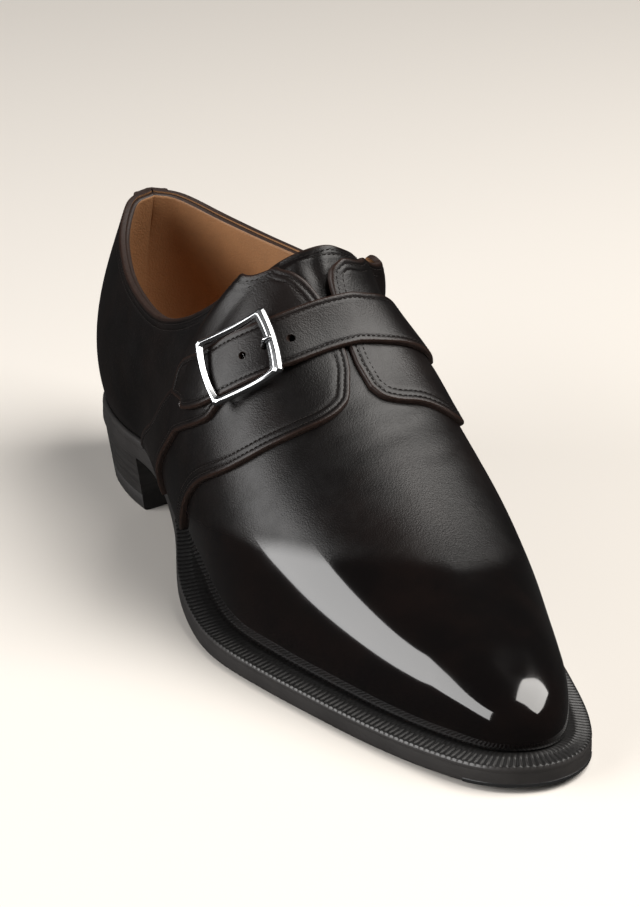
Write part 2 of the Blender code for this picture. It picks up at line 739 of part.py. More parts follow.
def ring_solid(name, low_share, high_share, through_toe, levels, count, made_of, collection):
    """A strip along the sole's edge, from the lateral side round an end to the medial side."""
    if through_toe:
        angles = spread(angle_of(low_share), math.pi, count)
    else:
        angles = spread(angle_of(high_share), 0.0, count)
    path = [(angle, -1) for angle in angles] + [(angle, 1) for angle in reversed(angles[:-1])]
    mesh = bpy.data.meshes.new(name)
    bm = bmesh.new()
    grid = []
    for angle, side in path:
        grid.append([bm.verts.new(inset_outline(angle, side, *level(share_of(angle)))) for level in levels])
    width = len(levels)
    for i in range(len(grid) - 1):
        for j in range(width):
            j2 = (j + 1) % width
            bm.faces.new((grid[i][j], grid[i][j2], grid[i + 1][j2], grid[i + 1][j]))
    bm.faces.new(grid[0])
    bm.faces.new(grid[-1][::-1])
    bmesh.ops.recalc_face_normals(bm, faces=bm.faces)
    bm.to_mesh(mesh)
    bm.free()
    return add_object(name, mesh, made_of, collection)


def edge_levels():
    """The welt's and rand's section: outer edge, sloping top and the lip under the upper."""
    base = OUTSOLE_THICK + CLEARANCE
    top = OUTSOLE_THICK + WELT_THICK
    lip = 0.0050
    return [
        lambda share: (0.0, base),
        lambda share: (0.0, top - EDGE_BEVEL),
        lambda share: (EDGE_BEVEL, top),
        lambda share: (ledge(share) + lip, top),
        lambda share: (ledge(share) + lip, base),
    ]


def heel_outline(count, inset, back_inset):
    """The heel's plan: round back, straight sides and a slightly hollow breast."""
    end = HEEL_LENGTH / OUTSOLE_LENGTH
    points = []
    for side in (-1, 1):
        half = []
        for angle in spread(0.0, angle_of(end), count):
            point = outline(angle, side) - inset * outline_normal(angle, side)
            point[1] -= back_inset * (1 - ease(share_of(angle), 0.0, 0.12))
            half.append(point)
        points.append(half)
    lateral, medial = points
    breast = []
    for t in spread(0.0, 1.0, 7)[1:-1]:
        point = lateral[-1] * (1 - t) + medial[-1] * t
        point[1] += 0.0035 * math.sin(math.pi * t)
        breast.append(point)
    return lateral + breast + list(reversed(medial))[:-1]


def heel_solid(name, low, high, levels, made_of, collection):
    mesh = bpy.data.meshes.new(name)
    bm = bmesh.new()
    rings = []
    for z in spread(low, high, levels):
        drop = 1 - z / HEEL_HEIGHT
        ring = []
        for point in heel_outline(14, 0.0006 + HEEL_TAPER * drop, 0.0012 * drop):
            ring.append(bm.verts.new((point[0], point[1], z)))
        rings.append(ring)
    count = len(rings[0])
    for low_ring, high_ring in zip(rings, rings[1:]):
        for j in range(count):
            j2 = (j + 1) % count
            bm.faces.new((low_ring[j], low_ring[j2], high_ring[j2], high_ring[j]))
    bm.faces.new(rings[0])
    bm.faces.new(rings[-1][::-1])
    bmesh.ops.recalc_face_normals(bm, faces=bm.faces)
    bm.to_mesh(mesh)
    bm.free()
    return add_object(name, mesh, made_of, collection)


def make_insole(made_of, collection):
    """The insole lies inside the upper's wall, on the welt's lip and the rand."""
    low = OUTSOLE_THICK + WELT_THICK + 2 * CLEARANCE
    inset = UPPER_WALL + CLEARANCE + 0.0006
    angles = spread(0.0, math.pi, 44)
    mesh = bpy.data.meshes.new("insole")
    bm = bmesh.new()
    grid = []
    for angle in angles:
        gap = ledge(share_of(angle)) + inset
        heights = (low, low + INSOLE_THICK)
        lateral = [bm.verts.new(inset_outline(angle, -1, gap, height)) for height in heights]
        medial = [bm.verts.new(inset_outline(angle, 1, gap, height)) for height in heights]
        grid.append(lateral + medial[::-1])
    for i in range(len(grid) - 1):
        for j in range(4):
            j2 = (j + 1) % 4
            bm.faces.new((grid[i][j], grid[i][j2], grid[i + 1][j2], grid[i + 1][j]))
    bmesh.ops.remove_doubles(bm, verts=bm.verts, dist=2e-5)
    bmesh.ops.recalc_face_normals(bm, faces=bm.faces)
    bm.to_mesh(mesh)
    bm.free()
    return add_object("insole", mesh, made_of, collection)


def buckle_frame_axes():
    """The buckle's place: its centre on the strap, and its directions along, across and off it."""
    ups = [row.up for row in FREE_STRAP]
    rows = list(range(len(ups)))
    at = float(np.interp(BUCKLE_AT, ups, rows))
    place, along, sideways, _ = strap_frame(at)
    front = surface(*moved(place, sideways * STRAP_WIDTH / 2))
    rear = surface(*moved(place, -sideways * STRAP_WIDTH / 2))
    sideways = unit(front - rear)
    normal = unit(np.cross(along, sideways))
    return surface(*place), unit(np.cross(sideways, normal)), sideways, normal


def buckle_point(axes, along, across, height):
    centre, direction, sideways, normal = axes
    return centre + direction * along + sideways * across + normal * height


def frame_height(along):
    """The frame's long sides dip to the pin and rise to the two ends, over the strap."""
    lift = PRONG_END_LIFT if along < 0 else STRAP_END_LIFT
    return FRAME_HEIGHT + lift * min(1.0, abs(along) / (BUCKLE_LENGTH * 0.36)) ** 1.6


def frame_path():
    """The frame's middle line as shares of its half length and half width, corners clipped."""
    clip = 0.93
    corners = ((-1, -clip), (-1, clip), (-clip, 1), (clip, 1), (1, clip), (1, -clip), (clip, -1), (-clip, -1))
    counts = (6, 1, 6, 1, 6, 1, 6, 1)
    path = []
    for k, count in enumerate(counts):
        (u0, w0), (u1, w1) = corners[k], corners[(k + 1) % 8]
        path += [(u0 + (u1 - u0) * t / count, w0 + (w1 - w0) * t / count) for t in range(count)]
    return path


def make_buckle_frame(made_of, collection):
    """A closed frame with bowed ends; the end that the prong rests on is the widest."""
    axes = buckle_frame_axes()
    half_long, half_wide = BUCKLE_LENGTH / 2, BUCKLE_WIDTH / 2
    mesh = bpy.data.meshes.new("buckle_frame")
    bm = bmesh.new()
    rings = []
    for u, w in frame_path():
        bow = BUCKLE_BOW * max(0.0, 1 - w * w) * (1 if abs(u) == 1 else 0)
        end_bar = BUCKLE_FRONT_BAR if u < 0 else BUCKLE_BAR
        outer = (half_long * u + math.copysign(bow, u), half_wide * w)
        inner = ((half_long - end_bar) * u + math.copysign(bow, u), (half_wide - BUCKLE_BAR) * w)
        ring = []
        for share, up in ((0.0, 0.0), (0.0, 0.45), (0.25, 0.9), (0.6, 1.0), (1.0, 0.55), (1.0, 0.0)):
            along = outer[0] + (inner[0] - outer[0]) * share
            across = outer[1] + (inner[1] - outer[1]) * share
            height = frame_height(outer[0] * 0.5 + inner[0] * 0.5) + BUCKLE_THICK * up
            ring.append(bm.verts.new(buckle_point(axes, along, across, height)))
        rings.append(ring)
    count = len(rings)
    for i in range(count):
        for j in range(6):
            i2, j2 = (i + 1) % count, (j + 1) % 6
            bm.faces.new((rings[i][j], rings[i][j2], rings[i2][j2], rings[i2][j]))
    bmesh.ops.recalc_face_normals(bm, faces=bm.faces)
    bm.to_mesh(mesh)
    bm.free()
    return add_object("buckle_frame", mesh, made_of, collection)


def rod(name, points, radius, made_of, collection):
    """A round wire through points, closed at both ends."""
    curve = bpy.data.curves.new(name, "CURVE")
    curve.dimensions = "3D"
    curve.bevel_depth = radius
    curve.bevel_resolution = 2
    curve.use_fill_caps = True
    spline = curve.splines.new("POLY")
    spline.points.add(len(points) - 1)
    for place, point in zip(spline.points, points):
        place.co = (*point, 1.0)
    wire = bpy.data.objects.new(name + "_curve", curve)
    collection.objects.link(wire)
    bpy.context.view_layer.update()
    evaluated = wire.evaluated_get(bpy.context.evaluated_depsgraph_get())
    mesh = bpy.data.meshes.new_from_object(evaluated)
    bpy.data.objects.remove(wire)
    bm = bmesh.new()
    bm.from_mesh(mesh)
    bmesh.ops.remove_doubles(bm, verts=bm.verts, dist=1e-6)
    bmesh.ops.recalc_face_normals(bm, faces=bm.faces)
    bm.to_mesh(mesh)
    bm.free()
    mesh.materials.clear()
    return add_object(name, mesh, made_of, collection)


def make_buckle_pin(made_of, collection):
    axes = buckle_frame_axes()
    half = BUCKLE_WIDTH / 2 - BUCKLE_BAR - CLEARANCE
    ends = [buckle_point(axes, 0.0, across, PIN_HEIGHT) for across in (-half, half)]
    return rod("buckle_pin", ends, PIN_RADIUS, made_of, collection)


def make_prong(made_of, collection):
    """The prong comes up through the strap's hole and rests on the frame's wide end."""
    axes = buckle_frame_axes()
    reach = -(BUCKLE_LENGTH / 2 + BUCKLE_BOW * 0.5)
    rest = frame_height(reach) + BUCKLE_THICK + PRONG_RADIUS + CLEARANCE
    foot = PIN_HEIGHT + PIN_RADIUS + CLEARANCE + PRONG_RADIUS
    over = FREE_STRAP_BASE + STRAP_WALL + PRONG_RADIUS
    points = [
        buckle_point(axes, HOLE_AT, 0.0, foot),
        buckle_point(axes, HOLE_AT, 0.0, over),
        buckle_point(axes, HOLE_AT - 0.0012, 0.0, over + 0.0006),
        buckle_point(axes, -(BUCKLE_LENGTH / 2 - BUCKLE_FRONT_BAR), 0.0, rest),
        buckle_point(axes, reach, 0.0, rest),
    ]
    return rod("buckle_prong", points, PRONG_RADIUS, made_of, collection)


def main():
    for old in list(bpy.data.objects):
        bpy.data.objects.remove(old)
    shoe = bpy.data.collections.new("monk_strap_shoe")
    cutters = bpy.data.collections.new("cutters")
    bpy.context.scene.collection.children.link(shoe)
    bpy.context.scene.collection.children.link(cutters)

    calf = material("dark_brown_calf", (0.030, 0.022, 0.020), 0.18)
    quarter_calf = material("quarter_calf", (0.036, 0.026, 0.023), 0.30)
    lining = material("tongue_calf", (0.034, 0.025, 0.022), 0.34)
    strap_calf = material("strap_calf", (0.040, 0.029, 0.025), 0.30)
    edge = material("edge_dressing", (0.045, 0.042, 0.041), 0.35)
    welting = material("welt_leather", (0.012, 0.011, 0.011), 0.45)
    heel_leather = material("heel_leather", (0.040, 0.036, 0.034), 0.30)
    rubber = material("top_piece_rubber", (0.020, 0.019, 0.019), 0.60)
    insole_leather = material("insole_leather", (0.48, 0.26, 0.12), 0.60)
    steel = material("polished_steel", (0.72, 0.73, 0.75), 0.12, 1.0)

    make_outsole(edge, shoe)
    ring_solid("welt", 0.375, 1.0, True, edge_levels(), 34, welting, shoe)
    ring_solid("heel_rand", 0.0, 0.372, False, edge_levels(), 22, welting, shoe)
    heel_solid("top_piece", 0.0, TOP_PIECE_THICK - CLEARANCE, 2, rubber, shoe)
    heel_solid("heel_stack", TOP_PIECE_THICK, HEEL_HEIGHT - CLEARANCE, 3, heel_leather, shoe)
    make_insole(insole_leather, shoe)
    make_upper(calf, shoe)
    make_tongue(lining, shoe)
    make_quarter(-1, quarter_calf, shoe)
    make_quarter(1, quarter_calf, shoe)
    make_band("band_lateral", LATERAL_BAND, -1, 17, strap_calf, shoe)
    make_band("band_medial", MEDIAL_BAND, 1, 13, strap_calf, shoe)
    make_free_strap(strap_calf, shoe, cutters)
    make_heel_tab(strap_calf, shoe)
    make_buckle_frame(steel, shoe)
    make_buckle_pin(steel, shoe)
    make_prong(steel, shoe)


main()
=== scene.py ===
"""Finishes a monk strap shoe: leather, seams, welt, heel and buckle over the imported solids.

Every leather piece is laid over the last, the surface that the solids follow too. A place on
the last is a share of the sole's length, a side (-1 outer, +1 inner) and a way up the rib.
"""
import math

import bmesh
import bpy
import numpy as np
from bpy.props import FloatProperty, FloatVectorProperty, PointerProperty
from mathutils import Matrix, Vector


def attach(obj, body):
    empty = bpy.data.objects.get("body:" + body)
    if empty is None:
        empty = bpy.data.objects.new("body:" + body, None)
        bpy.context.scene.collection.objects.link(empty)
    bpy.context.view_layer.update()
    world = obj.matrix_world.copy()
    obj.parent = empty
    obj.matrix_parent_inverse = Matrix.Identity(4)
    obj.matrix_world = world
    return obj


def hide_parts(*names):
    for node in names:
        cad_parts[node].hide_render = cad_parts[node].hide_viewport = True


bl_info = {
    "name": "Monk strap shoe",
    "version": (1, 0, 0),
    "blender": (4, 5, 0),
    "location": "3D View > Sidebar > Shoe",
    "description": "Builds the finished pieces of a monk strap shoe",
    "category": "Add Mesh",
}

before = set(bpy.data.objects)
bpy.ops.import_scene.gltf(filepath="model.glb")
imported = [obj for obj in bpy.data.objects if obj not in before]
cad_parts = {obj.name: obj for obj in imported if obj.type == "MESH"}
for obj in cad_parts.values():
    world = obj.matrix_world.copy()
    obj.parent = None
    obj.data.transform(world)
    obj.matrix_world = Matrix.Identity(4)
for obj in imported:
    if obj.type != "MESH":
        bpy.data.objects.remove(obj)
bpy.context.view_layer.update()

# The last's driving sizes, as the solids have them
OUTSOLE_LENGTH = 0.310
BALL_WIDTH = 0.0915
INSTEP_HEIGHT = 0.122
HEEL_HEIGHT = 0.0205
HEEL_LENGTH = 0.062
HEEL_CENTRE = 0.034
HEEL_TAPER = 0.0032
TOE_SPRING = 0.002
OUTSOLE_THICK = 0.0048
WELT_THICK = 0.0032
WELT_LEDGE = 0.0075
SEAT_LEDGE = 0.0034
TOP_PIECE_THICK = 0.0060
INSOLE_THICK = 0.0026
CLEARANCE = 0.0003
UPPER_WALL = 0.0018
STRAP_WALL = 0.0014
STRAP_WIDTH = 0.0178
STRAP_POINT = 0.0110
TONGUE_WALL = 0.0018
TONGUE_GAP = 0.0013
TONGUE_RISE = 0.0012
TONGUE_FULLNESS = 0.38
KEEP_FROM = 0.30
MEDIAL_FALL = math.radians(28)
QUARTER_TOP = 0.0020
BAND_BASE = 0.0026
BAND_TOP = 0.0040
FREE_STRAP_BASE = 0.0046
VAMP_START = 0.524
FEATHER_HEIGHT = OUTSOLE_THICK + WELT_THICK + 2 * CLEARANCE

# Buckle
BUCKLE_LENGTH = 0.0266
BUCKLE_WIDTH = 0.0238
BUCKLE_BAR = 0.0024
BUCKLE_FRONT_BAR = 0.0038
BUCKLE_THICK = 0.0019
BUCKLE_BOW = 0.0012
BUCKLE_AT = 1.366
PIN_RADIUS = 0.0006
PRONG_RADIUS = 0.0006
HOLE_RADIUS = 0.0013
HOLE_SPACING = 0.0160
HOLE_AT = -0.0012
PIN_HEIGHT = 0.0030
FRAME_HEIGHT = 0.0026
PRONG_END_LIFT = 0.0034
STRAP_END_LIFT = 0.0026
SIDE_DIP_FILL = 0.0018

# Sole outline: share of the length, then shares of the ball's width on the outer and inner side
SOLE = (
    (0.00, 0.000, 0.000), (0.03, 0.208, 0.208), (0.08, 0.292, 0.290), (0.16, 0.330, 0.322),
    (0.26, 0.315, 0.262), (0.36, 0.378, 0.250), (0.48, 0.520, 0.345), (0.60, 0.550, 0.485),
    (0.68, 0.495, 0.520), (0.76, 0.420, 0.500), (0.84, 0.338, 0.440), (0.92, 0.235, 0.356),
    (0.97, 0.140, 0.266), (1.00, -0.071, 0.071),
)
# Ridge of the vamp: rib, then shares along, across and up
CREST = (
    (0.42, 0.474, 0.098, 1.000), (0.46, 0.497, 0.087, 0.910), (0.52, 0.534, 0.090, 0.775),
    (0.60, 0.598, 0.085, 0.640), (0.68, 0.667, 0.085, 0.530), (0.76, 0.735, 0.085, 0.436),
    (0.84, 0.797, 0.080, 0.366), (0.92, 0.848, 0.075, 0.318), (0.97, 0.880, 0.070, 0.290),
    (1.00, 0.897, 0.065, 0.272),
)
# Collar: rib, share along, shares across on both sides, heights on both sides
COLLAR = (
    (0.00, 0.027, 0.000, 0.000, 0.807, 0.807), (0.03, 0.045, 0.115, 0.115, 0.783, 0.787),
    (0.08, 0.097, 0.208, 0.212, 0.722, 0.755), (0.15, 0.187, 0.279, 0.305, 0.668, 0.742),
    (0.22, 0.284, 0.295, 0.355, 0.664, 0.758), (0.28, 0.361, 0.268, 0.345, 0.738, 0.812),
    (0.33, 0.419, 0.208, 0.305, 0.844, 0.885), (0.38, 0.455, 0.087, 0.225, 0.972, 0.960),
    (0.42, 0.474, -0.098, 0.098, 1.000, 1.000),
)
# Walls: rib, flare at the sole, rise and roundness on both sides, lean at the collar
WALL = (
    (0.00, 0.30, 0.42, 0.42, 0.30, 0.30, 0.34), (0.08, 0.32, 0.42, 0.42, 0.30, 0.30, 0.26),
    (0.22, 0.40, 0.38, 0.38, 0.34, 0.32, 0.10), (0.30, 0.38, 0.40, 0.42, 0.30, 0.28, 0.30),
    (0.36, 0.36, 0.42, 0.46, 0.11, 0.18, 0.60), (0.40, 0.30, 0.43, 0.52, 0.21, 0.18, 0.80),
    (0.43, 0.26, 0.435, 0.58, 0.30, 0.18, 1.00), (0.46, 0.22, 0.44, 0.58, 0.34, 0.30, 1.00),
    (0.60, 0.15, 0.42, 0.58, 0.42, 0.50, 1.00), (0.76, 0.12, 0.40, 0.56, 0.46, 0.56, 1.00),
    (0.92, 0.10, 0.42, 0.50, 0.50, 0.50, 1.00), (1.00, 0.08, 0.52, 0.52, 0.46, 0.46, 1.00),
)
# Throat: rib, and how far up it the upper goes on both sides
THROAT = (
    (0.300, 0.990, 0.990), (0.326, 0.975, 0.975), (0.340, 0.925, 0.925), (0.352, 0.855, 0.835),
    (0.368, 0.775, 0.745), (0.385, 0.720, 0.670), (0.398, 0.700, 0.640), (0.412, 0.710, 0.670),
    (0.426, 0.745, 0.750), (0.438, 0.795, 0.810), (0.455, 0.840, 0.890), (0.480, 0.880, 0.915),
    (0.512, 0.935, 0.945),
)
# Quarters: strips from the lower edge (rib, way up) to the upper edge (rib, way up)
QUARTER_REAR = (
    (0.000, 0.012, 0.000, 1.000), (0.050, 0.012, 0.050, 1.000), (0.100, 0.012, 0.100, 1.000),
    (0.160, 0.012, 0.160, 1.000), (0.220, 0.012, 0.220, 1.000), (0.280, 0.012, 0.270, 1.000),
    (0.340, 0.012, 0.310, 1.000), (0.390, 0.012, 0.330, 1.000), (0.420, 0.040, 0.345, 0.955),
    (0.452, 0.150, 0.362, 0.870),
)
QUARTER_FRONT = {
    -1: (
        (0.487, 0.264, 0.381, 0.798), (0.520, 0.355, 0.397, 0.766), (0.545, 0.435, 0.411, 0.768),
        (0.564, 0.520, 0.425, 0.795), (0.578, 0.605, 0.437, 0.842), (0.587, 0.672, 0.450, 0.878),
        (0.593, 0.735, 0.466, 0.906), (0.597, 0.800, 0.485, 0.929), (0.595, 0.858, 0.512, 0.946),
        (0.587, 0.902, 0.538, 0.950), (0.576, 0.921, 0.555, 0.944),
    ),
    1: (
        (0.487, 0.264, 0.383, 0.820), (0.520, 0.355, 0.401, 0.800), (0.550, 0.440, 0.416, 0.812),
        (0.580, 0.530, 0.427, 0.850), (0.599, 0.620, 0.433, 0.902), (0.605, 0.700, 0.436, 0.955),
        (0.603, 0.780, 0.441, 1.004), (0.600, 0.860, 0.452, 1.042), (0.599, 0.930, 0.480, 1.042),
        (0.592, 0.985, 0.516, 1.038), (0.578, 1.016, 0.550, 1.032),
    ),
}
# Row of a quarter's lower edge where it leaves the sole
QUARTER_LEAVES = 7.6
# Tongue: rib and way up of its edges, rib of its ridge
TONGUE = (
    (0.585, 0.780, 0.590), (0.540, 0.750, 0.555), (0.485, 0.700, 0.510), (0.436, 0.655, 0.466),
    (0.385, 0.670, 0.436), (0.331, 0.960, 0.4205),
)
# Bands: rear edge (rib, way up) and front edge (rib, way up)
LATERAL_BAND = (
    (0.222, 0.012, 0.338, 0.012), (0.248, 0.130, 0.356, 0.120), (0.290, 0.250, 0.398, 0.225),
    (0.345, 0.330, 0.440, 0.320), (0.392, 0.395, 0.466, 0.385), (0.414, 0.455, 0.484, 0.445),
    (0.432, 0.520, 0.491, 0.510), (0.448, 0.590, 0.502, 0.582),
)
MEDIAL_BAND = (
    (0.230, 0.012, 0.350, 0.012), (0.262, 0.120, 0.376, 0.110), (0.312, 0.250, 0.418, 0.235),
    (0.368, 0.370, 0.462, 0.350), (0.418, 0.470, 0.490, 0.460), (0.454, 0.570, 0.510, 0.560),
)
# The strap's middle line: rib, and way up over the ridge and down the outer side
FREE_STRAP = (
    (0.485, 0.602), (0.494, 0.700), (0.499, 0.830), (0.502, 0.960), (0.502, 1.090), (0.499, 1.210),
    (0.491, 1.300), (0.480, 1.380), (0.465, 1.465), (0.442, 1.550), (0.402, 1.634),
)
# Heel tab: way up, and its half width in shares
HEEL_TAB = ((0.740, 0.0035), (0.770, 0.0060), (0.840, 0.0072), (0.920, 0.0080), (0.985, 0.0085))


def angle_of(share):
    """A rib's angle from its share of the sole's length: ribs crowd towards both ends."""
    return np.arccos(np.clip(1 - 2 * np.asarray(share, float), -1, 1))


def share_of(angle):
    return (1 - np.cos(angle)) / 2


def ease(value, low, high):
    t = np.clip((value - low) / (high - low), 0, 1)
    return t * t * (3 - 2 * t)


def unit(vector):
    return vector / np.linalg.norm(vector, axis=-1, keepdims=True)


def dot(a, b):
    return (a * b).sum(-1)


class Course:
    """A smooth curve through points, softened so that a polished surface shows no steps."""

    SAMPLES = 1201

    def __init__(self, places, values, soft=0.0):
        places, values = np.array(places, float), np.array(values, float)
        widths, rises = np.diff(places), np.diff(values) / np.diff(places)
        inner = (rises[:-1] * widths[1:] + rises[1:] * widths[:-1]) / (widths[:-1] + widths[1:])
        slopes = np.concatenate([rises[:1], inner, rises[-1:]])
        self.at = np.linspace(places[0], places[-1], self.SAMPLES)
        k = np.clip(np.searchsorted(places, self.at, side="right") - 1, 0, len(places) - 2)
        t = (self.at - places[k]) / widths[k]
        start = (2 * t**3 - 3 * t**2 + 1) * values[k] + (t**3 - 2 * t**2 + t) * widths[k] * slopes[k]
        end = (3 * t**2 - 2 * t**3) * values[k + 1] + (t**3 - t**2) * widths[k] * slopes[k + 1]
        self.curve = self.softened(start + end, soft)

    def softened(self, curve, soft):
        step = self.at[1] - self.at[0]
        reach = int(3 * soft / step)
        if reach == 0:
            return curve
        window = np.exp(-0.5 * (np.arange(-reach, reach + 1) * step / soft) ** 2)
        before = 2 * curve[0] - curve[reach:0:-1]
        after = 2 * curve[-1] - curve[-2:-reach - 2:-1]
        return np.convolve(np.concatenate([before, curve, after]), window / window.sum(), "valid")

    def __call__(self, at):
        return np.interp(at, self.at, self.curve)


class Table:
    """Rows of values, read at a place counted in rows."""

    def __init__(self, rows):
        self.courses = [Course(range(len(rows)), values) for values in zip(*rows)]
        self.last = len(rows) - 1.0

    def __call__(self, at):
        return np.stack([course(at) for course in self.courses], -1)


def rib_courses(rows, soft):
    """One smooth course against the rib's angle for each column after the first."""
    columns = list(zip(*rows))
    return [Course(angle_of(columns[0]), values, soft) for values in columns[1:]]


RIB_SOFTNESS = 0.045
SOLE_COURSES = rib_courses(SOLE, 0.03)
CREST_COURSES = rib_courses(CREST, RIB_SOFTNESS)
COLLAR_COURSES = rib_courses(COLLAR, 0.02)
WALL_COURSES = rib_courses(WALL, RIB_SOFTNESS)
THROAT_COURSES = [Course([row[0] for row in THROAT], [row[k] for row in THROAT]) for k in (1, 2)]
CREST_START = CREST[0][0]


SEAT_BEHIND_BREAST = 0.003
TREAD_START = 0.585
SPRING_LENGTH = 0.20


def under_height(share):
    """The outsole's underside over the floor: heel seat, arch, flat tread and toe spring."""
    seat_end = (HEEL_LENGTH + SEAT_BEHIND_BREAST) / OUTSOLE_LENGTH
    arch = HEEL_HEIGHT * ease(1 - share, 1 - TREAD_START, 1 - seat_end)
    return arch + TOE_SPRING * np.clip((share - 0.80) / SPRING_LENGTH, 0, 1) ** 1.8


def by_side(side, pair):
    return np.where(side < 0, pair[0], pair[1])


def outline(angle, side):
    """The sole's edge in plan; an angle past either end folds onto the other side."""
    side = np.where((angle < 0) | (angle > math.pi), -side, side)
    angle = np.where(angle > math.pi, 2 * math.pi - angle, np.abs(angle))
    across = side * BALL_WIDTH * by_side(side, [course(angle) for course in SOLE_COURSES])
    return np.stack([across, HEEL_CENTRE - OUTSOLE_LENGTH * share_of(angle), 0 * across], -1)


def outline_normal(angle, side):
    x, y, z = np.moveaxis(outline(angle + 0.01, side) - outline(angle - 0.01, side), -1, 0)
    return unit(np.stack([-y, x, z], -1) * np.asarray(side)[..., None])


def ledge(share):
    """How far the sole stands out from the upper."""
    waist = ease(share, 0.20, 0.30) * (1 - ease(share, 0.36, 0.50))
    front = ease(share, 0.34, 0.50)
    return SEAT_LEDGE * (1 - front) * (1 - 0.6 * waist) + WELT_LEDGE * front


def sole_point(angle, side, inset, height):
    """A point of the sole's edge, moved in by an inset and lifted over the underside."""
    angle, side, inset, height = np.broadcast_arrays(angle, side, inset, height)
    point = outline(angle, side) - inset[..., None] * outline_normal(angle, side)
    point[..., 2] = under_height(share_of(angle)) + height
    return point


def rail(angle, side):
    """The collar's edge behind the tongue's top, and the ridge of the vamp in front of it."""
    along, across, height = [course(angle) for course in CREST_COURSES]
    crest = np.stack([BALL_WIDTH * across, HEEL_CENTRE - OUTSOLE_LENGTH * along, INSTEP_HEIGHT * height], -1)
    along, lateral, medial, lateral_height, medial_height = [course(angle) for course in COLLAR_COURSES]
    across = side * BALL_WIDTH * by_side(side, (lateral, medial))
    height = INSTEP_HEIGHT * by_side(side, (lateral_height, medial_height))
    collar = np.stack([across, HEEL_CENTRE - OUTSOLE_LENGTH * along, height], -1)
    return np.where((share_of(angle) >= CREST_START - 1e-9)[..., None], crest, collar)


def arrival(angle, side):
    """The direction in which a rib reaches the rail."""
    share = share_of(angle)
    fall = np.where(side > 0, MEDIAL_FALL * (1 - ease(share, 0.43, 0.55)), 0.0)
    across = np.stack([-side * np.cos(fall), 0 * fall, np.sin(fall)], -1)
    before = rail(np.maximum(angle - 0.02, angle_of(CREST_START)), side)
    spine = unit(before - rail(np.minimum(angle + 0.02, math.pi), side) + [0, 1e-9, 0])
    turn = np.sin(0.5 * math.pi * np.clip((share - 0.90) / 0.10, 0, 1))[..., None]
    ridge = unit(across * np.sqrt(1 - turn * turn) + spine * turn)
    upward = unit(np.array([0.0, 0.0, 1.0]) - WALL_COURSES[5](angle)[..., None] * outline_normal(angle, side))
    keep = (1 - ease(share, KEEP_FROM, CREST_START))[..., None]
    return np.where((share > CREST_START)[..., None], ridge, unit(upward * keep + across * (1 - keep)))


def settle(share, side, up):
    """A place past the heel's back or past the ridge, told as a place on the other side."""
    share, side, up = np.broadcast_arrays(*[np.asarray(value, float) for value in (share, side, up)])
    side = np.where(share < 0, -side, side)
    share = np.clip(np.abs(share), 0, 1)
    over = (up > 1.1) | ((up > 1) & (share >= CREST_START))
    return share, np.where(over, -side, side), np.minimum(np.where(over, 2 - up, up), 1.0)


def surface(share, side, up):
    """Points of the last's surface: each rib is a cubic curve from the sole to the rail."""
    share, side, up = settle(share, side, up)
    angle = angle_of(share)
    low = sole_point(angle, side, ledge(share), FEATHER_HEIGHT)
    high = rail(angle, side)
    chord = np.linalg.norm(high - low, axis=-1)[..., None]
    flare, rise_out, rise_in, round_out, round_in, _ = [course(angle) for course in WALL_COURSES]
    start = unit(np.array([0.0, 0.0, 1.0]) + flare[..., None] * outline_normal(angle, side))
    first = low + by_side(side, (rise_out, rise_in))[..., None] * chord * start
    second = high - by_side(side, (round_out, round_in))[..., None] * chord * arrival(angle, side)
    up = up[..., None]
    down = 1 - up
    return down**3 * low + 3 * down * down * up * first + 3 * down * up * up * second + up**3 * high


def one_normal(share, side, up):
    step = 0.004
    along = surface(np.minimum(share + step, 0.9995), side, up) - surface(share - step, side, up)
    above, below = np.minimum(up + step, 1.0), np.maximum(up - step, 0.0)
    climb = surface(share, side, above) - surface(share, side, below)
    return unit(np.cross(climb, along) * side[..., None])


def surface_normal(share, side, up):
    """The last's outward normal; near the ridge both sides have their share in it."""
    share, side, up = settle(share, side, up)
    up = np.minimum(up, 0.95)
    other = (0.5 * ease(up + 0.05, 0.90, 1.0) * ease(share, 0.36, CREST_START))[..., None]
    return unit(one_normal(share, side, up) * (1 - other) + one_normal(share, -side, up) * other)


def raised(places, height):
    """Points at a height over places of the last."""
    share, side, up = np.moveaxis(places, -1, 0)
    height = np.broadcast_to(height, share.shape)[..., None]
    return surface(share, side, up) + height * surface_normal(share, side, up)


def moved(places, shift):
    """The places nearest to other places moved by a shift."""
    share, side, up = [value.copy() for value in np.moveaxis(np.asarray(places, float), -1, 0)]
    target = surface(share, side, up) + shift
    step = 0.002
    for _ in range(4):
        along = (surface(share + step, side, up) - surface(share - step, side, up)) / (2 * step)
        climb = (surface(share, side, up + step) - surface(share, side, up - step)) / (2 * step)
        error = target - surface(share, side, up)
        aa, ac, cc = dot(along, along), dot(along, climb), dot(climb, climb)
        ea, ec = dot(error, along), dot(error, climb)
        scale = np.maximum(aa * cc - ac * ac, 1e-12)
        share = share + (ea * cc - ec * ac) / scale
        up = up + (ec * aa - ea * ac) / scale
    return np.stack([share, side, up], -1)


def lengths_along(points):
    """The length of a line of points up to each of them."""
    steps = np.linalg.norm(np.diff(points, axis=0), axis=1)
    return np.concatenate([[0.0], np.cumsum(steps)])


def evenly(points, count):
    """Where, counted in points, a line of points passes its equal distances."""
    lengths = lengths_along(points)
    return np.interp(np.linspace(0, lengths[-1], count), lengths, np.arange(len(points)))


def distance_to(points, line):
    """The shortest distance from each point to a line of points."""
    flat = points.reshape(-1, 3)
    best = np.full(len(flat), 1.0)
    for start, step in zip(line[:-1], np.diff(line, axis=0)):
        t = np.clip((flat - start) @ step / max(step @ step, 1e-14), 0, 1)
        best = np.minimum(best, np.linalg.norm(flat - start - t[:, None] * step, axis=1))
    return best.reshape(points.shape[:-1])


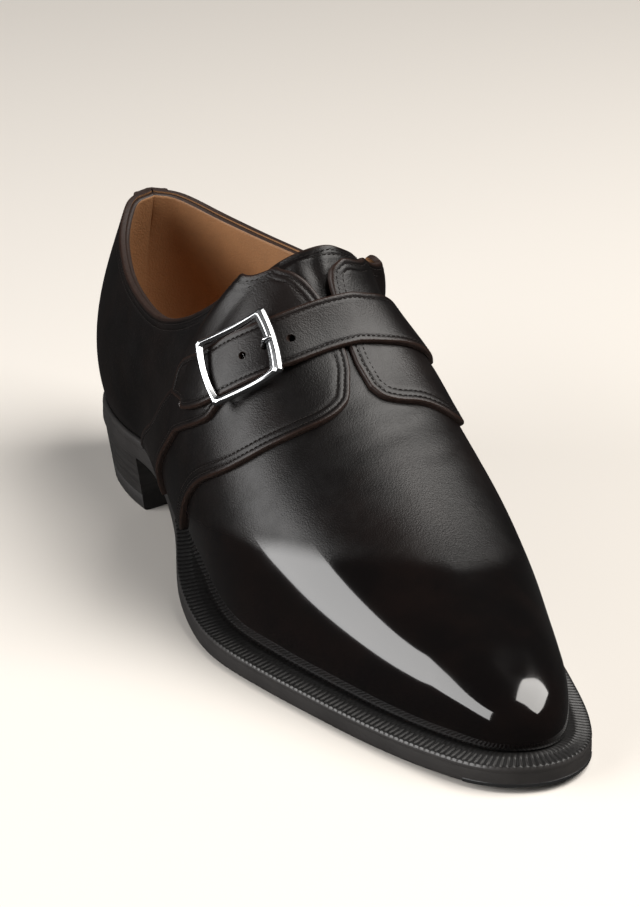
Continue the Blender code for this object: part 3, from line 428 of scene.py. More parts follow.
# Distances from a leather edge at which a piece has its rows of points, so that its rounded
# edge and both sunk seams are drawn
EDGE_ROWS = np.array([
    0.0, 0.08, 0.2, 0.38, 0.6, 0.85, 1.2, 1.6, 1.9, 2.1, 2.3, 2.6, 3.0, 3.4, 3.75, 4.0, 4.2, 4.4,
    4.7, 5.1, 5.8,
]) / 1000
# A leather edge's rounding, its raw band, a seam's groove, and the spacing of a seam's points
EDGE_ROUNDING = 0.0008
RAW_BAND = 0.0003
SEAM_WIDTH = 0.00042
SEAM_SPACING = 0.0008
# How far inside its distance from the edge a seam's point may lie
SEAM_SLACK = 0.00012
SAME_PLACE = 1e-7


def edge_stations(length, inner, both=True):
    """Shares of a length, close together near one end or both ends."""
    zone = EDGE_ROWS * min(1.0, (0.46 if both else 0.8) * length / EDGE_ROWS[-1])
    start = zone / length if both else np.array([0.0])
    return np.concatenate([start[:-1] if both else [], np.linspace(start[-1], 1 - zone[-1] / length, inner),
                           1 - zone[-2::-1] / length])


def strips(low, high, inner):
    """A grid of places: each row runs from a place of the low edge to one of the high edge."""
    t = np.linspace(0, 1, 17)[None, :, None]
    points = surface(*np.moveaxis(low[:, None] * (1 - t) + high[:, None] * t, -1, 0))
    lengths = np.linalg.norm(np.diff(points, axis=1), axis=-1).sum(1)
    rows = [edge_stations(length, inner)[:, None] for length in lengths]
    return np.stack([a * (1 - t) + b * t for a, b, t in zip(low, high, rows)])


def grid_faces(rows, columns, wrap=False, offset=0):
    """Quads over a grid of points; wrap joins the last row to the first."""
    i = np.arange(rows if wrap else rows - 1)[:, None]
    j = np.arange(columns - 1)[None, :]
    after = (i + 1) % rows
    quads = np.stack([i * columns + j, i * columns + j + 1, after * columns + j + 1, after * columns + j], -1)
    return quads.reshape(-1, 4) + offset


def rim_faces(rows, columns):
    """Quads from the border of one grid to the border of a second one that follows it."""
    top = list(range(columns)) + [i * columns + columns - 1 for i in range(1, rows)]
    top += list(range(rows * columns - 2, (rows - 1) * columns - 1, -1))
    top += [i * columns for i in range(rows - 2, 0, -1)]
    count = rows * columns
    return [(top[k], top[(k + 1) % len(top)], top[(k + 1) % len(top)] + count, top[k] + count)
            for k in range(len(top))]


def set_fade(mesh, fade):
    """Stores each point's distance from its piece's edge, which the finish reads."""
    attribute = mesh.attributes.new("from_edge", "FLOAT", "POINT")
    attribute.data.foreach_set("value", np.asarray(fade, np.float32))


def add_piece(name, points, faces, finishes, face_finish=None, fade=None, sharp=38):
    """A mesh object; fade is each point's distance from its piece's edge, for the finish."""
    mesh = bpy.data.meshes.new(name)
    faces = faces if isinstance(faces, list) else faces.tolist()
    mesh.from_pydata(points.tolist(), [], faces)
    for made_of in finishes:
        mesh.materials.append(made_of)
    if face_finish is not None:
        mesh.polygons.foreach_set("material_index", np.asarray(face_finish, np.int32))
    if fade is not None:
        set_fade(mesh, fade)
    bm = bmesh.new()
    bm.from_mesh(mesh)
    bmesh.ops.remove_doubles(bm, verts=bm.verts, dist=SAME_PLACE)
    bmesh.ops.recalc_face_normals(bm, faces=bm.faces)
    bm.to_mesh(mesh)
    bm.free()
    mesh.shade_smooth()
    mesh.set_sharp_from_angle(angle=math.radians(sharp))
    piece = bpy.data.objects.new(name, mesh)
    bpy.context.scene.collection.objects.link(piece)
    return piece


def fit(piece, slot, *nodes):
    """Hangs a finished piece on the root and hides the solids that it stands for; its slot is not used."""
    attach(piece, "root")
    if nodes:
        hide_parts(*nodes)
    return piece


def rounded(away, radius):
    """The rise of a rounded edge, from 0 at the edge to 1 at the radius."""
    return np.sqrt(1 - (1 - np.clip(away / radius, 0, 1)) ** 2)


def sunk(level, away, seams, width):
    """A level with a soft groove at each seam's distance from the edge."""
    depth = bpy.context.scene.shoe_sizes.seam_depth
    for seam in seams:
        level = level - depth * np.exp(-((away - seam) / width) ** 2)
    return level


def two_skins(name, top, under, finishes, away, fade_under, edge_band=0.0):
    """A piece from the grids of its top and its underside; the band along its edge is raw."""
    rows, columns = top.shape[:2]
    face, back = grid_faces(rows, columns), grid_faces(rows, columns, offset=rows * columns)
    rim = np.array(rim_faces(rows, columns))
    index = np.concatenate([np.zeros(len(face)), np.full(len(back), 2), np.ones(len(rim))])
    index[:len(face)][away.reshape(-1)[face].max(1) < edge_band] = 1
    points = np.concatenate([top.reshape(-1, 3), under.reshape(-1, 3)])
    fade = np.concatenate([away.reshape(-1), fade_under.reshape(-1)])
    return add_piece(name, points, np.concatenate([face, back[:, ::-1], rim]), finishes, index, fade)


class Plate:
    """A leather piece laid over the last: a grid of places, its free border and its heights."""

    def __init__(self, grid, border, base, top):
        self.grid, self.border, self.base, self.top = grid, border, base, top
        self.line = surface(*np.moveaxis(border, -1, 0))

    def height(self, level, places):
        return level(places) if callable(level) else np.full(places.shape[:-1], level)

    def build(self, name, finishes, seams):
        """finishes are the face's, the edge's and the back's; seams are distances from the border."""
        away = distance_to(surface(*np.moveaxis(self.grid, -1, 0)), self.line)
        base, top = self.height(self.base, self.grid), self.height(self.top, self.grid)
        level = base + (top - base) * (0.50 + 0.50 * rounded(away, EDGE_ROUNDING))
        level = sunk(level, away, seams, SEAM_WIDTH)
        skins = raised(self.grid, level), raised(self.grid, base)
        return two_skins(name, *skins, finishes, away, 0 * away, RAW_BAND)

    def seam(self, inset):
        """Places along the border, moved in from it."""
        even = evenly(self.line, max(24, int(lengths_along(self.line)[-1] / SEAM_SPACING)))
        rows = np.arange(len(self.border))
        border = np.stack([np.interp(even, rows, column) for column in self.border.T], -1)
        points = surface(*border.T)
        along = unit(np.gradient(points, axis=0))
        inward = np.cross(surface_normal(*border.T), along)
        middle = surface(*self.grid.reshape(-1, 3).T).mean(0)
        if (dot(inward, middle - points) > 0).mean() < 0.5:
            inward = -inward
        places = moved(border, inward * inset)
        kept = distance_to(surface(*places.T), self.line) > inset - SEAM_SLACK
        return places[kept]


class Thread:
    """Stitches gathered into one mesh."""

    SIDES = 6
    # Share of the pitch that a stitch fills, its slant, and the shortest gap that is a jump
    FILL, SLANT, JUMP = 0.80, 0.10, 0.004
    # Rings of a stitch: place along it, rise and width in thread radii
    PROFILE = ((-1.0, -1.3, 0.55), (-0.78, -0.1, 0.85), (-0.35, 0.42, 1.0), (0.35, 0.42, 1.0),
               (0.78, -0.1, 0.85), (1.0, -1.3, 0.55))

    def __init__(self):
        self.points, self.faces, self.count = [], [], 0

    def run(self, points, normals):
        """A row of stitches along a line of points that lie on the leather."""
        sizes = bpy.context.scene.shoe_sizes
        pitch = sizes.stitch_pitch
        lengths = lengths_along(points)
        gaps = np.diff(lengths)
        number = int(lengths[-1] / pitch)
        if number < 1:
            return
        centres = (np.arange(number) + 0.5) * lengths[-1] / number

        def read(values, places):
            return np.stack([np.interp(places, lengths, column) for column in values.T], -1)

        at, up = read(points, centres), unit(read(normals, centres))
        along = unit(read(points, centres + pitch / 3) - read(points, centres - pitch / 3))
        across = unit(np.cross(up, along))
        up = np.cross(along, across)
        along = unit(along + across * self.SLANT)
        across = np.cross(up, along)
        keep = np.ones(number, bool)
        # No stitches just after a place where the row jumps
        for start in lengths[:-1][gaps > self.JUMP]:
            keep &= np.abs(centres - start - self.JUMP / 2) > 0.003
        kept = at[keep], along[keep], across[keep], up[keep]
        self.add(*kept, pitch * self.FILL / 2, sizes.thread_radius)

    def add(self, at, along, across, up, half, radius):
        """Stitches as short threads that dip into the leather at both ends."""
        points = np.stack([
            circles(at + along * half * reach + up * radius * rise, across, up, radius * width, self.SIDES)
            for reach, rise, width in self.PROFILE], 1)
        stitches, ring_count = points.shape[:2]
        self.points.append(points.reshape(-1, 3))
        one = []
        for ring in range(0, (ring_count - 1) * self.SIDES, self.SIDES):
            for j in range(self.SIDES):
                first, second = ring + j, ring + (j + 1) % self.SIDES
                one.append((first, second, second + self.SIDES, first + self.SIDES))
        last = (ring_count - 1) * self.SIDES
        caps = [tuple(range(self.SIDES))[::-1], tuple(range(last, last + self.SIDES))]
        for k in range(stitches):
            start = self.count + k * ring_count * self.SIDES
            self.faces += [tuple(start + v for v in face) for face in one + caps]
        self.count += stitches * ring_count * self.SIDES

    def build(self, name, finish, slot):
        return fit(add_piece(name, np.concatenate(self.points), self.faces, [finish], sharp=80), slot)


def sew(name, slot, plates, insets, share=1.0):
    """Rows of stitches inside the borders of plates, over the first share of their length."""
    thread = Thread()
    depth = bpy.context.scene.shoe_sizes.seam_depth
    for plate in plates:
        for inset in insets:
            places = plate.seam(inset)
            places = places[:int(len(places) * share)]
            points = raised(places, plate.height(plate.top, places) - depth)
            thread.run(points, surface_normal(*places.T))
    thread.build(name, finish("thread"), slot)


class Link:
    """A socket of a material's nodes that takes part in sums as a number would."""

    def __init__(self, finish, socket):
        self.finish, self.socket = finish, socket

    def combine(self, operation, first, second):
        return self.finish.node("Math", {"operation": operation}, {0: first, 1: second})

    def __add__(self, other):
        return self.combine("ADD", self, other)

    def __sub__(self, other):
        return self.combine("SUBTRACT", self, other)

    def __rsub__(self, other):
        return self.combine("SUBTRACT", other, self)

    def __mul__(self, other):
        return self.combine("MULTIPLY", self, other)

    __radd__, __rmul__ = __add__, __mul__

    def eased(self, low, high):
        """From 0 at low to 1 at high, smoothly."""
        inputs = {"Value": self, "From Min": low, "From Max": high}
        return self.finish.node("MapRange", {"interpolation_type": "SMOOTHSTEP"}, inputs)


class Finish:
    """A material and its nodes."""

    def __init__(self, name):
        self.made = bpy.data.materials.new(name)
        self.made.use_nodes = True
        self.tree = self.made.node_tree
        self.shader = self.tree.nodes["Principled BSDF"]
        self.colours = bpy.context.scene.shoe_colours

    def node(self, kind, settings=None, inputs=None, output=0):
        """A node of a kind, with its settings, then the values or links of its sockets."""
        node = self.tree.nodes.new("ShaderNode" + kind)
        for name, value in (settings or {}).items():
            setattr(node, name, value)
        for name, value in (inputs or {}).items():
            self.join(value, node.inputs[name])
        return Link(self, node.outputs[output])

    def join(self, value, socket):
        if isinstance(value, Link):
            self.tree.links.new(value.socket, socket)
        elif socket.type == "RGBA" and len(value) == 3:
            socket.default_value = (*value, 1.0)
        else:
            socket.default_value = value

    def set(self, **inputs):
        for name, value in inputs.items():
            self.join(value, self.shader.inputs[name.replace("_", " ").title().replace("Ior", "IOR")])
        return self.made

    def place(self):
        """Object coordinates, in metres in the shoe's own frame."""
        return self.node("TexCoord", output="Object")

    def apart(self, vector):
        node = self.node("SeparateXYZ", None, {"Vector": vector})
        return [Link(self, output) for output in node.socket.node.outputs]

    def noise(self, scale, detail=2.0, roughness=0.5, vector=None):
        inputs = {"Vector": vector or self.place(), "Scale": scale, "Detail": detail, "Roughness": roughness}
        return self.node("TexNoise", None, inputs, "Fac")

    def cells(self, scale):
        inputs = {"Vector": self.place(), "Scale": scale, "Randomness": 1.0}
        return self.node("TexVoronoi", {"feature": "SMOOTH_F1"}, inputs, "Distance")

    def stretched(self, x, y, z):
        return self.node("VectorMath", {"operation": "MULTIPLY"}, {0: self.place(), 1: (x, y, z)})

    def mix(self, factor, first, second):
        """A colour between two colours."""
        node = self.tree.nodes.new("ShaderNodeMix")
        node.data_type = "RGBA"
        for value, socket in ((factor, node.inputs[0]), (first, node.inputs[6]), (second, node.inputs[7])):
            self.join(value, socket)
        return Link(self, node.outputs[2])

    def relief(self, height, depth):
        return self.node("Bump", None, {"Height": height, "Distance": depth, "Strength": 1.0})

    def from_edge(self):
        return self.node("Attribute", {"attribute_name": "from_edge"}, None, "Fac")


FINISHES = {}


def finish(name):
    """The material of that name, made once."""
    if name not in FINISHES:
        FINISHES[name] = MAKERS[name]()
    return FINISHES[name]


def layers(face):
    """The finishes of a leather piece: its face, its cut edge and its back."""
    return [finish(face), finish("raw_edge"), finish("lining")]


def shaded(colour, share):
    """A colour with each part multiplied by a share."""
    return tuple(part * share for part in colour)


# Where the wax polish of the toe starts: it reaches farther back low down and on the outer side
POLISH_HEIGHT, POLISH_SLOPE, POLISH_LEAN = 0.045, 5.0, 0.6
POLISH_START, POLISH_FULL, POLISH_RAGGED = 0.180, 0.216, 0.014
PORE_DEPTH = 0.000045


def calf(name, tone, rough, gloss, polished, grain=1.0):
    """Calf leather: fine pores, dark patina, brown where edges have rubbed, wax where polished."""
    f = Finish(name)
    x, y, z = f.apart(f.place())
    if polished:
        reach = (POLISH_HEIGHT - z) * POLISH_SLOPE - y - x * POLISH_LEAN
        polish = (reach + (f.noise(30, 3) - 0.5) * POLISH_RAGGED).eased(POLISH_START, POLISH_FULL)
    else:
        polish = (0.040 - z).eased(-0.01, 0.03) * 0.35
    patches = f.noise(34, 4, 0.6).eased(0.36, 0.68)
    colour = f.mix(patches * 0.6, shaded(f.colours.calf, tone), shaded(f.colours.burnish, tone))
    if not polished:
        rubbed = (1 - f.from_edge().eased(0.0002, 0.0016)) * (0.35 + 0.5 * f.noise(260, 2))
        colour = f.mix(rubbed, colour, f.colours.raw_edge)
    pores = f.cells(2100).eased(0.05, 0.75)
    fine = f.noise(5200, 2, 0.6)
    broad = f.noise(420, 3, 0.55)
    height = (pores * 0.5 + fine * 0.35 + broad * 0.6) * (1 - polish * 0.97)
    scuffs = f.noise(90, 5, 0.65).eased(0.3, 0.8)
    roughness = (1 - polish) * (rough + (scuffs - 0.4) * 0.10) + polish * (gloss + scuffs * 0.02)
    return f.set(base_color=colour, roughness=roughness, coat_weight=polish * 0.85, coat_roughness=0.035,
                 specular_ior_level=0.32, normal=f.relief(height, PORE_DEPTH * grain))


def raw_edge():
    """A cut and dyed leather edge."""
    f = Finish("raw_edge")
    fibres = f.noise(1500, 3, 0.6)
    colour = f.mix(fibres.eased(0.3, 0.7), shaded(f.colours.raw_edge, 0.45), f.colours.raw_edge)
    return f.set(base_color=colour, roughness=0.46 + 0.2 * fibres, normal=f.relief(fibres, 0.00010))


def lining():
    """Tan lining leather, smooth, with faint pores and slight wear."""
    f = Finish("lining")
    patches = f.noise(40, 4, 0.55).eased(0.3, 0.75)
    pores = f.cells(1500).eased(0.05, 0.7)
    return f.set(base_color=f.mix(patches, f.colours.lining, shaded(f.colours.lining, 0.78)),
                 roughness=0.52 + 0.12 * f.noise(300, 2),
                 normal=f.relief(pores + f.noise(500, 3) * 0.6, 0.00008))


def thread_finish():
    """Waxed thread, with the twist of its plies."""
    f = Finish("thread")
    plies = f.noise(2600, 2, 0.5)
    colour = f.mix(plies.eased(0.3, 0.7), f.colours.thread, shaded(f.colours.thread, 0.55))
    return f.set(base_color=colour, roughness=0.62 + 0.15 * plies, specular_ior_level=0.25,
                 normal=f.relief(plies, 0.00010))


def sole_edge():
    """The waxed and ironed edge of welt and outsole."""
    f = Finish("sole_edge")
    grain = f.noise(1.0, 3, 0.6, f.stretched(260, 260, 1400))
    patches = f.noise(70, 4, 0.6).eased(0.3, 0.75)
    return f.set(base_color=f.mix(patches * 0.6, f.colours.sole_edge, shaded(f.colours.sole_edge, 0.62)),
                 roughness=0.33 + 0.14 * grain, coat_weight=0.20 + patches * 0.15, coat_roughness=0.12,
                 normal=f.relief(grain, 0.00006))


def welt_finish():
    """The welt's inked and wheeled top."""
    f = Finish("welt_top")
    fibres = f.noise(900, 3, 0.6)
    return f.set(base_color=f.mix(fibres.eased(0.3, 0.7), shaded(f.colours.welt, 0.5), f.colours.welt),
                 roughness=0.38 + 0.15 * fibres, normal=f.relief(fibres, 0.00005))


def sole_leather():
    """The leather tread, stained dark."""
    f = Finish("sole_leather")
    fibres = f.noise(1.0, 4, 0.6, f.stretched(500, 220, 500))
    patches = f.noise(28, 4, 0.6).eased(0.3, 0.7)
    return f.set(base_color=f.mix(patches, f.colours.tread, shaded(f.colours.tread, 0.6)),
                 roughness=0.48 + 0.2 * fibres, normal=f.relief(fibres, 0.0001))


def heel_finish():
    """Heel lifts: leather layers, waxed as one face, with their joints just showing."""
    f = Finish("heel_lifts")
    joints = f.noise(1.0, 3, 0.6, f.stretched(60, 60, 1500))
    patches = f.noise(60, 3).eased(0.3, 0.8)
    dark = shaded(f.colours.sole_edge, 0.55)
    return f.set(base_color=f.mix(joints.eased(0.35, 0.7), f.colours.sole_edge, dark),
                 roughness=0.26 + 0.12 * patches, coat_weight=0.3 + 0.1 * patches,
                 coat_roughness=0.08, normal=f.relief(joints, 0.00008))


def rubber():
    """The rubber of the top piece."""
    f = Finish("heel_rubber")
    specks = f.noise(1400, 3, 0.6)
    return f.set(base_color=f.mix(specks, (0.016, 0.015, 0.015), (0.028, 0.026, 0.025)),
                 roughness=0.55 + 0.2 * specks, normal=f.relief(specks, 0.00008))


def steel():
    """Polished steel with faint wiping marks."""
    f = Finish("polished_steel")
    wipes = f.noise(1.0, 3, 0.6, f.stretched(500, 2600, 900))
    smear = f.noise(160, 3, 0.6).eased(0.35, 0.75)
    return f.set(base_color=f.mix(smear, (0.62, 0.63, 0.645), (0.54, 0.55, 0.57)), metallic=1.0,
                 roughness=0.21 + 0.06 * smear, normal=f.relief(wipes, 0.000006))


def floor_finish():
    """A pale seamless floor."""
    colour = bpy.context.scene.shoe_stage.floor
    f = Finish("pale_floor")
    marks = f.noise(3.0, 4, 0.6)
    return f.set(base_color=f.mix(marks, colour, shaded(colour, 0.985)), roughness=0.62 + 0.1 * marks,
                 specular_ior_level=0.25)


MAKERS = {
    "vamp_calf": lambda: calf("vamp_calf", 1.0, 0.36, 0.10, True),
    "quarter_calf": lambda: calf("quarter_calf", 1.1, 0.36, 0.2, False, 1.2),
    "strap_calf": lambda: calf("strap_calf", 1.2, 0.34, 0.2, False, 1.2),
    "raw_edge": raw_edge,
    "lining": lining,
    "thread": thread_finish,
    "sole_edge": sole_edge,
    "welt_top": welt_finish,
    "sole_leather": sole_leather,
    "heel_lifts": heel_finish,
    "heel_rubber": rubber,
    "steel": steel,
    "floor": floor_finish,
}


def relaxed(points, faces, hold, rounds):
    """Points smoothed over their neighbours without shrinking; hold is 1 where they stay."""
    edges = np.concatenate([faces[:, [k, (k + 1) % 4]] for k in range(4)])
    edges = edges[edges[:, 0] != edges[:, 1]]
    edges = np.unique(np.sort(edges, axis=1), axis=0)
    degree = np.zeros(len(points))
    np.add.at(degree, edges.ravel(), 1)
    free = (1 - hold)[:, None]
    for _ in range(rounds):
        for weight in (0.5, -0.52):
            total = np.zeros_like(points)
            np.add.at(total, edges[:, 0], points[edges[:, 1]])
            np.add.at(total, edges[:, 1], points[edges[:, 0]])
            points = points + free * weight * (total / np.maximum(degree, 1)[:, None] - points)
    return points


def crease_relief(points):
    """Soft troughs and ridges of the vamp, placed in the shoe's own sizes."""
    depth = bpy.context.scene.shoe_sizes.crease_depth
    # across, along, length across, slant, depth and half width of each crease
    creases = (
        (0.022, -0.1500, 0.012, 0.35, 1.00, 0.0013),
        (0.010, -0.1600, 0.020, 0.10, 0.45, 0.0022),
        (-0.012, -0.1560, 0.018, -0.20, 0.40, 0.0022),
        (0.026, -0.1660, 0.010, 0.30, 0.50, 0.0018),
        (0.004, -0.1470, 0.016, 0.12, 0.30, 0.0020),
        (-0.030, -0.1480, 0.010, -0.45, 0.40, 0.0018),
    )
    level = np.zeros(points.shape[:-1])
    for across, along, length, slant, share, width in creases:
        x = (points[..., 0] - across) / length
        offset = points[..., 1] - along - slant * (points[..., 0] - across) - 0.0012 * np.sin(3 * x)
        reach = np.exp(-x**2)
        trough = np.exp(-(offset / width) ** 2)
        banks = 0.45 * np.exp(-((np.abs(offset) - 2.1 * width) / (1.3 * width)) ** 2)
        level += depth * share * reach * (banks - trough)
    return level * (points[..., 2] > 0.02)


# The toe's crown: its reach from the ridge's end, the band of neighbours round it, their spacing
# and how far each of them counts
TOE_CROWN = 0.030
CROWN_BAND = 0.010
CROWN_SPACING = 0.0013
CROWN_SPREAD = 0.0042


def ironed(points, normals):
    """The toe's crown made even: each point goes to a curved patch through its neighbours."""
    centre = rail(np.array([math.pi]), np.array([1.0]))[0]
    away = np.linalg.norm(points - centre, axis=1)
    chosen = np.flatnonzero((away < TOE_CROWN) & (normals[:, 2] > 0.3))
    around = np.flatnonzero((away < TOE_CROWN + CROWN_BAND) & (normals[:, 2] > 0.2))
    cells = np.round(points[around] / CROWN_SPACING).astype(int)
    _, first = np.unique(cells, axis=0, return_index=True)
    samples = points[around[first]]
    ironed_points = points.copy()
    for index in chosen:
        x, y, z = (samples - points[index]).T
        weight = np.sqrt(np.exp(-(x * x + y * y) / (2 * CROWN_SPREAD**2)))
        terms = np.stack([np.ones_like(x), x, y, x * x, x * y, y * y], 1)
        fitted = np.linalg.lstsq(terms * weight[:, None], z * weight, rcond=None)[0]
        share = (1 - ease(away[index], TOE_CROWN * 0.6, TOE_CROWN)) * ease(normals[index, 2], 0.3, 0.7)
        ironed_points[index, 2] += share * fitted[0]
    return ironed_points


# The upper's ribs, with more of them at the throat, and the rows of points up each of them
UPPER_RIBS = 211
THROAT_RIBS = (0.31, 0.53, 64)
UPPER_ROWS = 52
SAME_RIB = 2e-5
# Where the skin's smoothing starts and is full, in shares, and how often it is done
RELAX_FROM, RELAX_TO, RELAX_ROUNDS = 0.52, 0.60, 26
FOREPART = -0.18
NO_EDGE = 0.01


def make_upper():
    """Vamp, counters and lining as one shell, open at the collar and throat."""
    ends = np.linspace(0, math.pi, UPPER_RIBS)
    shares = np.unique(np.concatenate([share_of(ends), np.linspace(*THROAT_RIBS)]))
    shares = shares[np.concatenate([[True], np.diff(shares) > SAME_RIB])]
    loop = [(share, -1) for share in shares] + [(share, 1) for share in shares[-2:0:-1]]
    share, side = np.array(loop).T
    tops = [course(share) for course in THROAT_COURSES]
    top = np.where(share <= THROAT[0][0], THROAT[0][1], by_side(side, tops))
    top = np.where(share >= VAMP_START, 1.0, top)
    up = np.linspace(0, 1, UPPER_ROWS)[None, :] * top[:, None]
    points = surface(share[:, None], side[:, None], up)
    # Both sides end in the very same points along the ridge
    ridge = np.flatnonzero(shares[:-1] >= VAMP_START)
    points[2 * len(shares) - 2 - ridge, -1] = points[ridge, -1]
    rows, columns = points.shape[:2]
    flat, faces = points.reshape(-1, 3), grid_faces(rows, columns, wrap=True)
    _, first, inverse = np.unique(np.round(flat, 7), axis=0, return_index=True, return_inverse=True)
    flat, faces = flat[first], inverse.reshape(-1)[faces]
    hold_grid = np.broadcast_to(1 - ease(share, RELAX_FROM, RELAX_TO)[:, None], (rows, columns)).copy()
    hold_grid[:, :2] = 1
    flat = relaxed(flat, faces, hold_grid.reshape(-1)[first], RELAX_ROUNDS)
    mesh = bpy.data.meshes.new("upper_skin")
    mesh.from_pydata(flat.tolist(), [], faces.tolist())
    bm = bmesh.new()
    bm.from_mesh(mesh)
    bmesh.ops.dissolve_degenerate(bm, edges=bm.edges, dist=SAME_PLACE)
    bmesh.ops.recalc_face_normals(bm, faces=bm.faces)
    forepart = [face for face in bm.faces if face.calc_center_median().y < FOREPART]
    if max(forepart, key=lambda face: face.calc_center_median().z).normal.z < 0:
        bmesh.ops.reverse_faces(bm, faces=bm.faces)
    bm.normal_update()
    where = np.array([vertex.co for vertex in bm.verts])
    where = ironed(where, np.array([vertex.normal for vertex in bm.verts]))
    for vertex, point, level in zip(bm.verts, where, crease_relief(where)):
        vertex.co = Vector(point) + vertex.normal * float(level)
    bm.to_mesh(mesh)
    bm.free()
    # In the order that the Wall modifier counts from: outside, lining, cut edge
    for name in ("vamp_calf", "lining", "raw_edge"):
        mesh.materials.append(finish(name))
    set_fade(mesh, np.full(len(mesh.vertices), NO_EDGE))
    mesh.shade_smooth()
    upper = bpy.data.objects.new("vamp_and_lining", mesh)
    bpy.context.scene.collection.objects.link(upper)
    wall = upper.modifiers.new("Wall", "SOLIDIFY")
    wall.thickness, wall.offset = UPPER_WALL, -1.0
    wall.use_quality_normals = True
    wall.material_offset, wall.material_offset_rim = 1, 2
    fit(upper, "upper_calf", "upper")


QUARTER_SINK = 0.00005


def quarter_plate(side):
    """One quarter, from the heel's middle round the collar to its flap."""
    table = Table(QUARTER_REAR + QUARTER_FRONT[side])
    fine = np.linspace(0, table.last, 301)

    def ends(at):
        rows = np.maximum(table(at), 0.00002)
        sides = np.full(len(rows), float(side))
        return (np.stack([rows[:, 0], sides, rows[:, 1]], -1), np.stack([rows[:, 2], sides, rows[:, 3]], -1))

    low, high = ends(fine)
    middle = surface(*((low + high) / 2).T)
    lengths = lengths_along(middle)
    stations = edge_stations(lengths[-1], 110, both=False)
    at = np.interp(stations * lengths[-1], lengths, fine)
    low, high = ends(at)
    grid = strips(low, high, 34)
    low_free = low[at > QUARTER_LEAVES]
    last = low[-1] + (high[-1] - low[-1]) * np.linspace(0, 1, 9)[1:-1, None]
    border = np.concatenate([low_free, last, high[::-1]])
    return Plate(grid, border, -QUARTER_SINK, QUARTER_TOP)


def make_quarters():
    """Both quarters with their flaps, double stitched round the free border."""
    sizes = bpy.context.scene.shoe_sizes
    for side, name in ((-1, "quarter_lateral"), (1, "quarter_medial")):
        plate = quarter_plate(side)
        seams = (sizes.seam_inset, sizes.seam_inset + sizes.seam_gap)
        fit(plate.build(name + "_leather", layers("quarter_calf"), seams), "quarter_calf", name)
        sew(name + "_stitches", "quarter_calf", [plate], seams)


# How far a piece lies in the one under it, and how much of a band's length is sewn
STRAP_SINK = 0.0004
PLATE_SINK = 0.0002
BAND_SEWN = 0.97


def band_edges(table_rows, side):
    """Places along a band's rear and front edges."""
    table = Table(table_rows)
    rows = table(np.linspace(0, table.last, 120))
    sides = np.full(len(rows), float(side))
    return [np.stack([rows[:, k], sides, rows[:, k + 1]], -1) for k in (0, 2)]


def make_bands():
    """The bands that come up from the sole to the buckle and to the strap."""
    inset = bpy.context.scene.shoe_sizes.seam_inset
    for name, rows, side in (("band_lateral", LATERAL_BAND, -1), ("band_medial", MEDIAL_BAND, 1)):
        rear, front = band_edges(rows, side)
        grid = strips(rear, front, 14)
        end = rear[-1] + (front[-1] - rear[-1]) * np.linspace(0, 1, 9)[1:-1, None]
        # The outer band ends free under the buckle, the inner band under the strap
        border = np.concatenate([rear, end, front[::-1]] if side < 0 else [rear, front[::-1]])
        plate, rear_edge, front_edge = [Plate(grid, edge, QUARTER_TOP - PLATE_SINK, BAND_TOP)
                                        for edge in (border, rear, front)]
        fit(plate.build(name + "_leather", layers("strap_calf"), (inset,)), "strap_calf", name)
        sew(name + "_stitches", "strap_calf", [rear_edge, front_edge], (inset,), BAND_SEWN)


STRAP_TABLE = Table(FREE_STRAP)


def strap_places(at):
    share, up = STRAP_TABLE(at).T
    return np.stack([share, np.ones_like(share), up], -1)


def strap_frame(at):
    """Places of the strap's middle line, with the directions along, across and off it."""
    at = np.atleast_1d(np.asarray(at, float))
    places = strap_places(at)
    ahead, back = strap_places(np.minimum(at + 0.1, STRAP_TABLE.last)), strap_places(np.maximum(at - 0.1, 0))
    normal = surface_normal(*places.T)
    along = surface(*ahead.T) - surface(*back.T)
    along = unit(along - normal * dot(along, normal)[:, None])
    return places, along, np.cross(normal, along), normal


def strap_base(places):
    """The strap lies on the flaps and climbs onto the outer band at the buckle."""
    return BAND_BASE + (FREE_STRAP_BASE - BAND_BASE) * ease(places[..., 2], 1.10, 1.30)


def strap_under(places):
    return strap_base(places) - STRAP_SINK


def strap_top(places):
    return strap_base(places) + STRAP_WALL


# How much lower over the buckle's plane the strap lies at its front hole
STRAP_END_FALL = 0.0022


def make_strap():
    """The free strap with its blunt point, stitched round its edge, and its three holes."""
    sizes = bpy.context.scene.shoe_sizes
    at = np.linspace(0, STRAP_TABLE.last, 201)
    lengths = lengths_along(surface(*strap_places(at).T))
    straight = lengths[-1] - STRAP_POINT
    point = STRAP_POINT * (1 - np.linspace(1, 0, 26)[1:] ** 1.6)
    stations = np.concatenate([np.linspace(0, straight, 130), straight + point])
    places, _, across, _ = strap_frame(np.interp(stations, lengths, at))
    into_point = np.maximum(0, (stations - straight) / STRAP_POINT)
    half = STRAP_WIDTH / 2 * np.maximum(0.05, 1 - into_point**1.4)
    shares = 2 * edge_stations(STRAP_WIDTH, 12) - 1
    grid = np.stack([moved(places, across * (half * k)[:, None]) for k in shares], 1)
    border = np.concatenate([grid[:, 0], grid[-1, 1:-1], grid[::-1, -1]])
    plate = Plate(grid, border, strap_under, strap_top)
    strap = plate.build("strap_leather", layers("strap_calf"), (sizes.seam_inset,))
    centre, along, _, off = buckle_axes()
    for number in (0.0, 0.5, 1.0):
        height = FREE_STRAP_BASE - STRAP_END_FALL * number
        punch(strap, centre + along * (HOLE_AT - HOLE_SPACING * number) + off * height, off)
    fit(strap, "strap_calf", "strap")
    sew("strap_stitches", "strap_calf", [plate], (sizes.seam_inset,))


PUNCH_LENGTH = 0.012


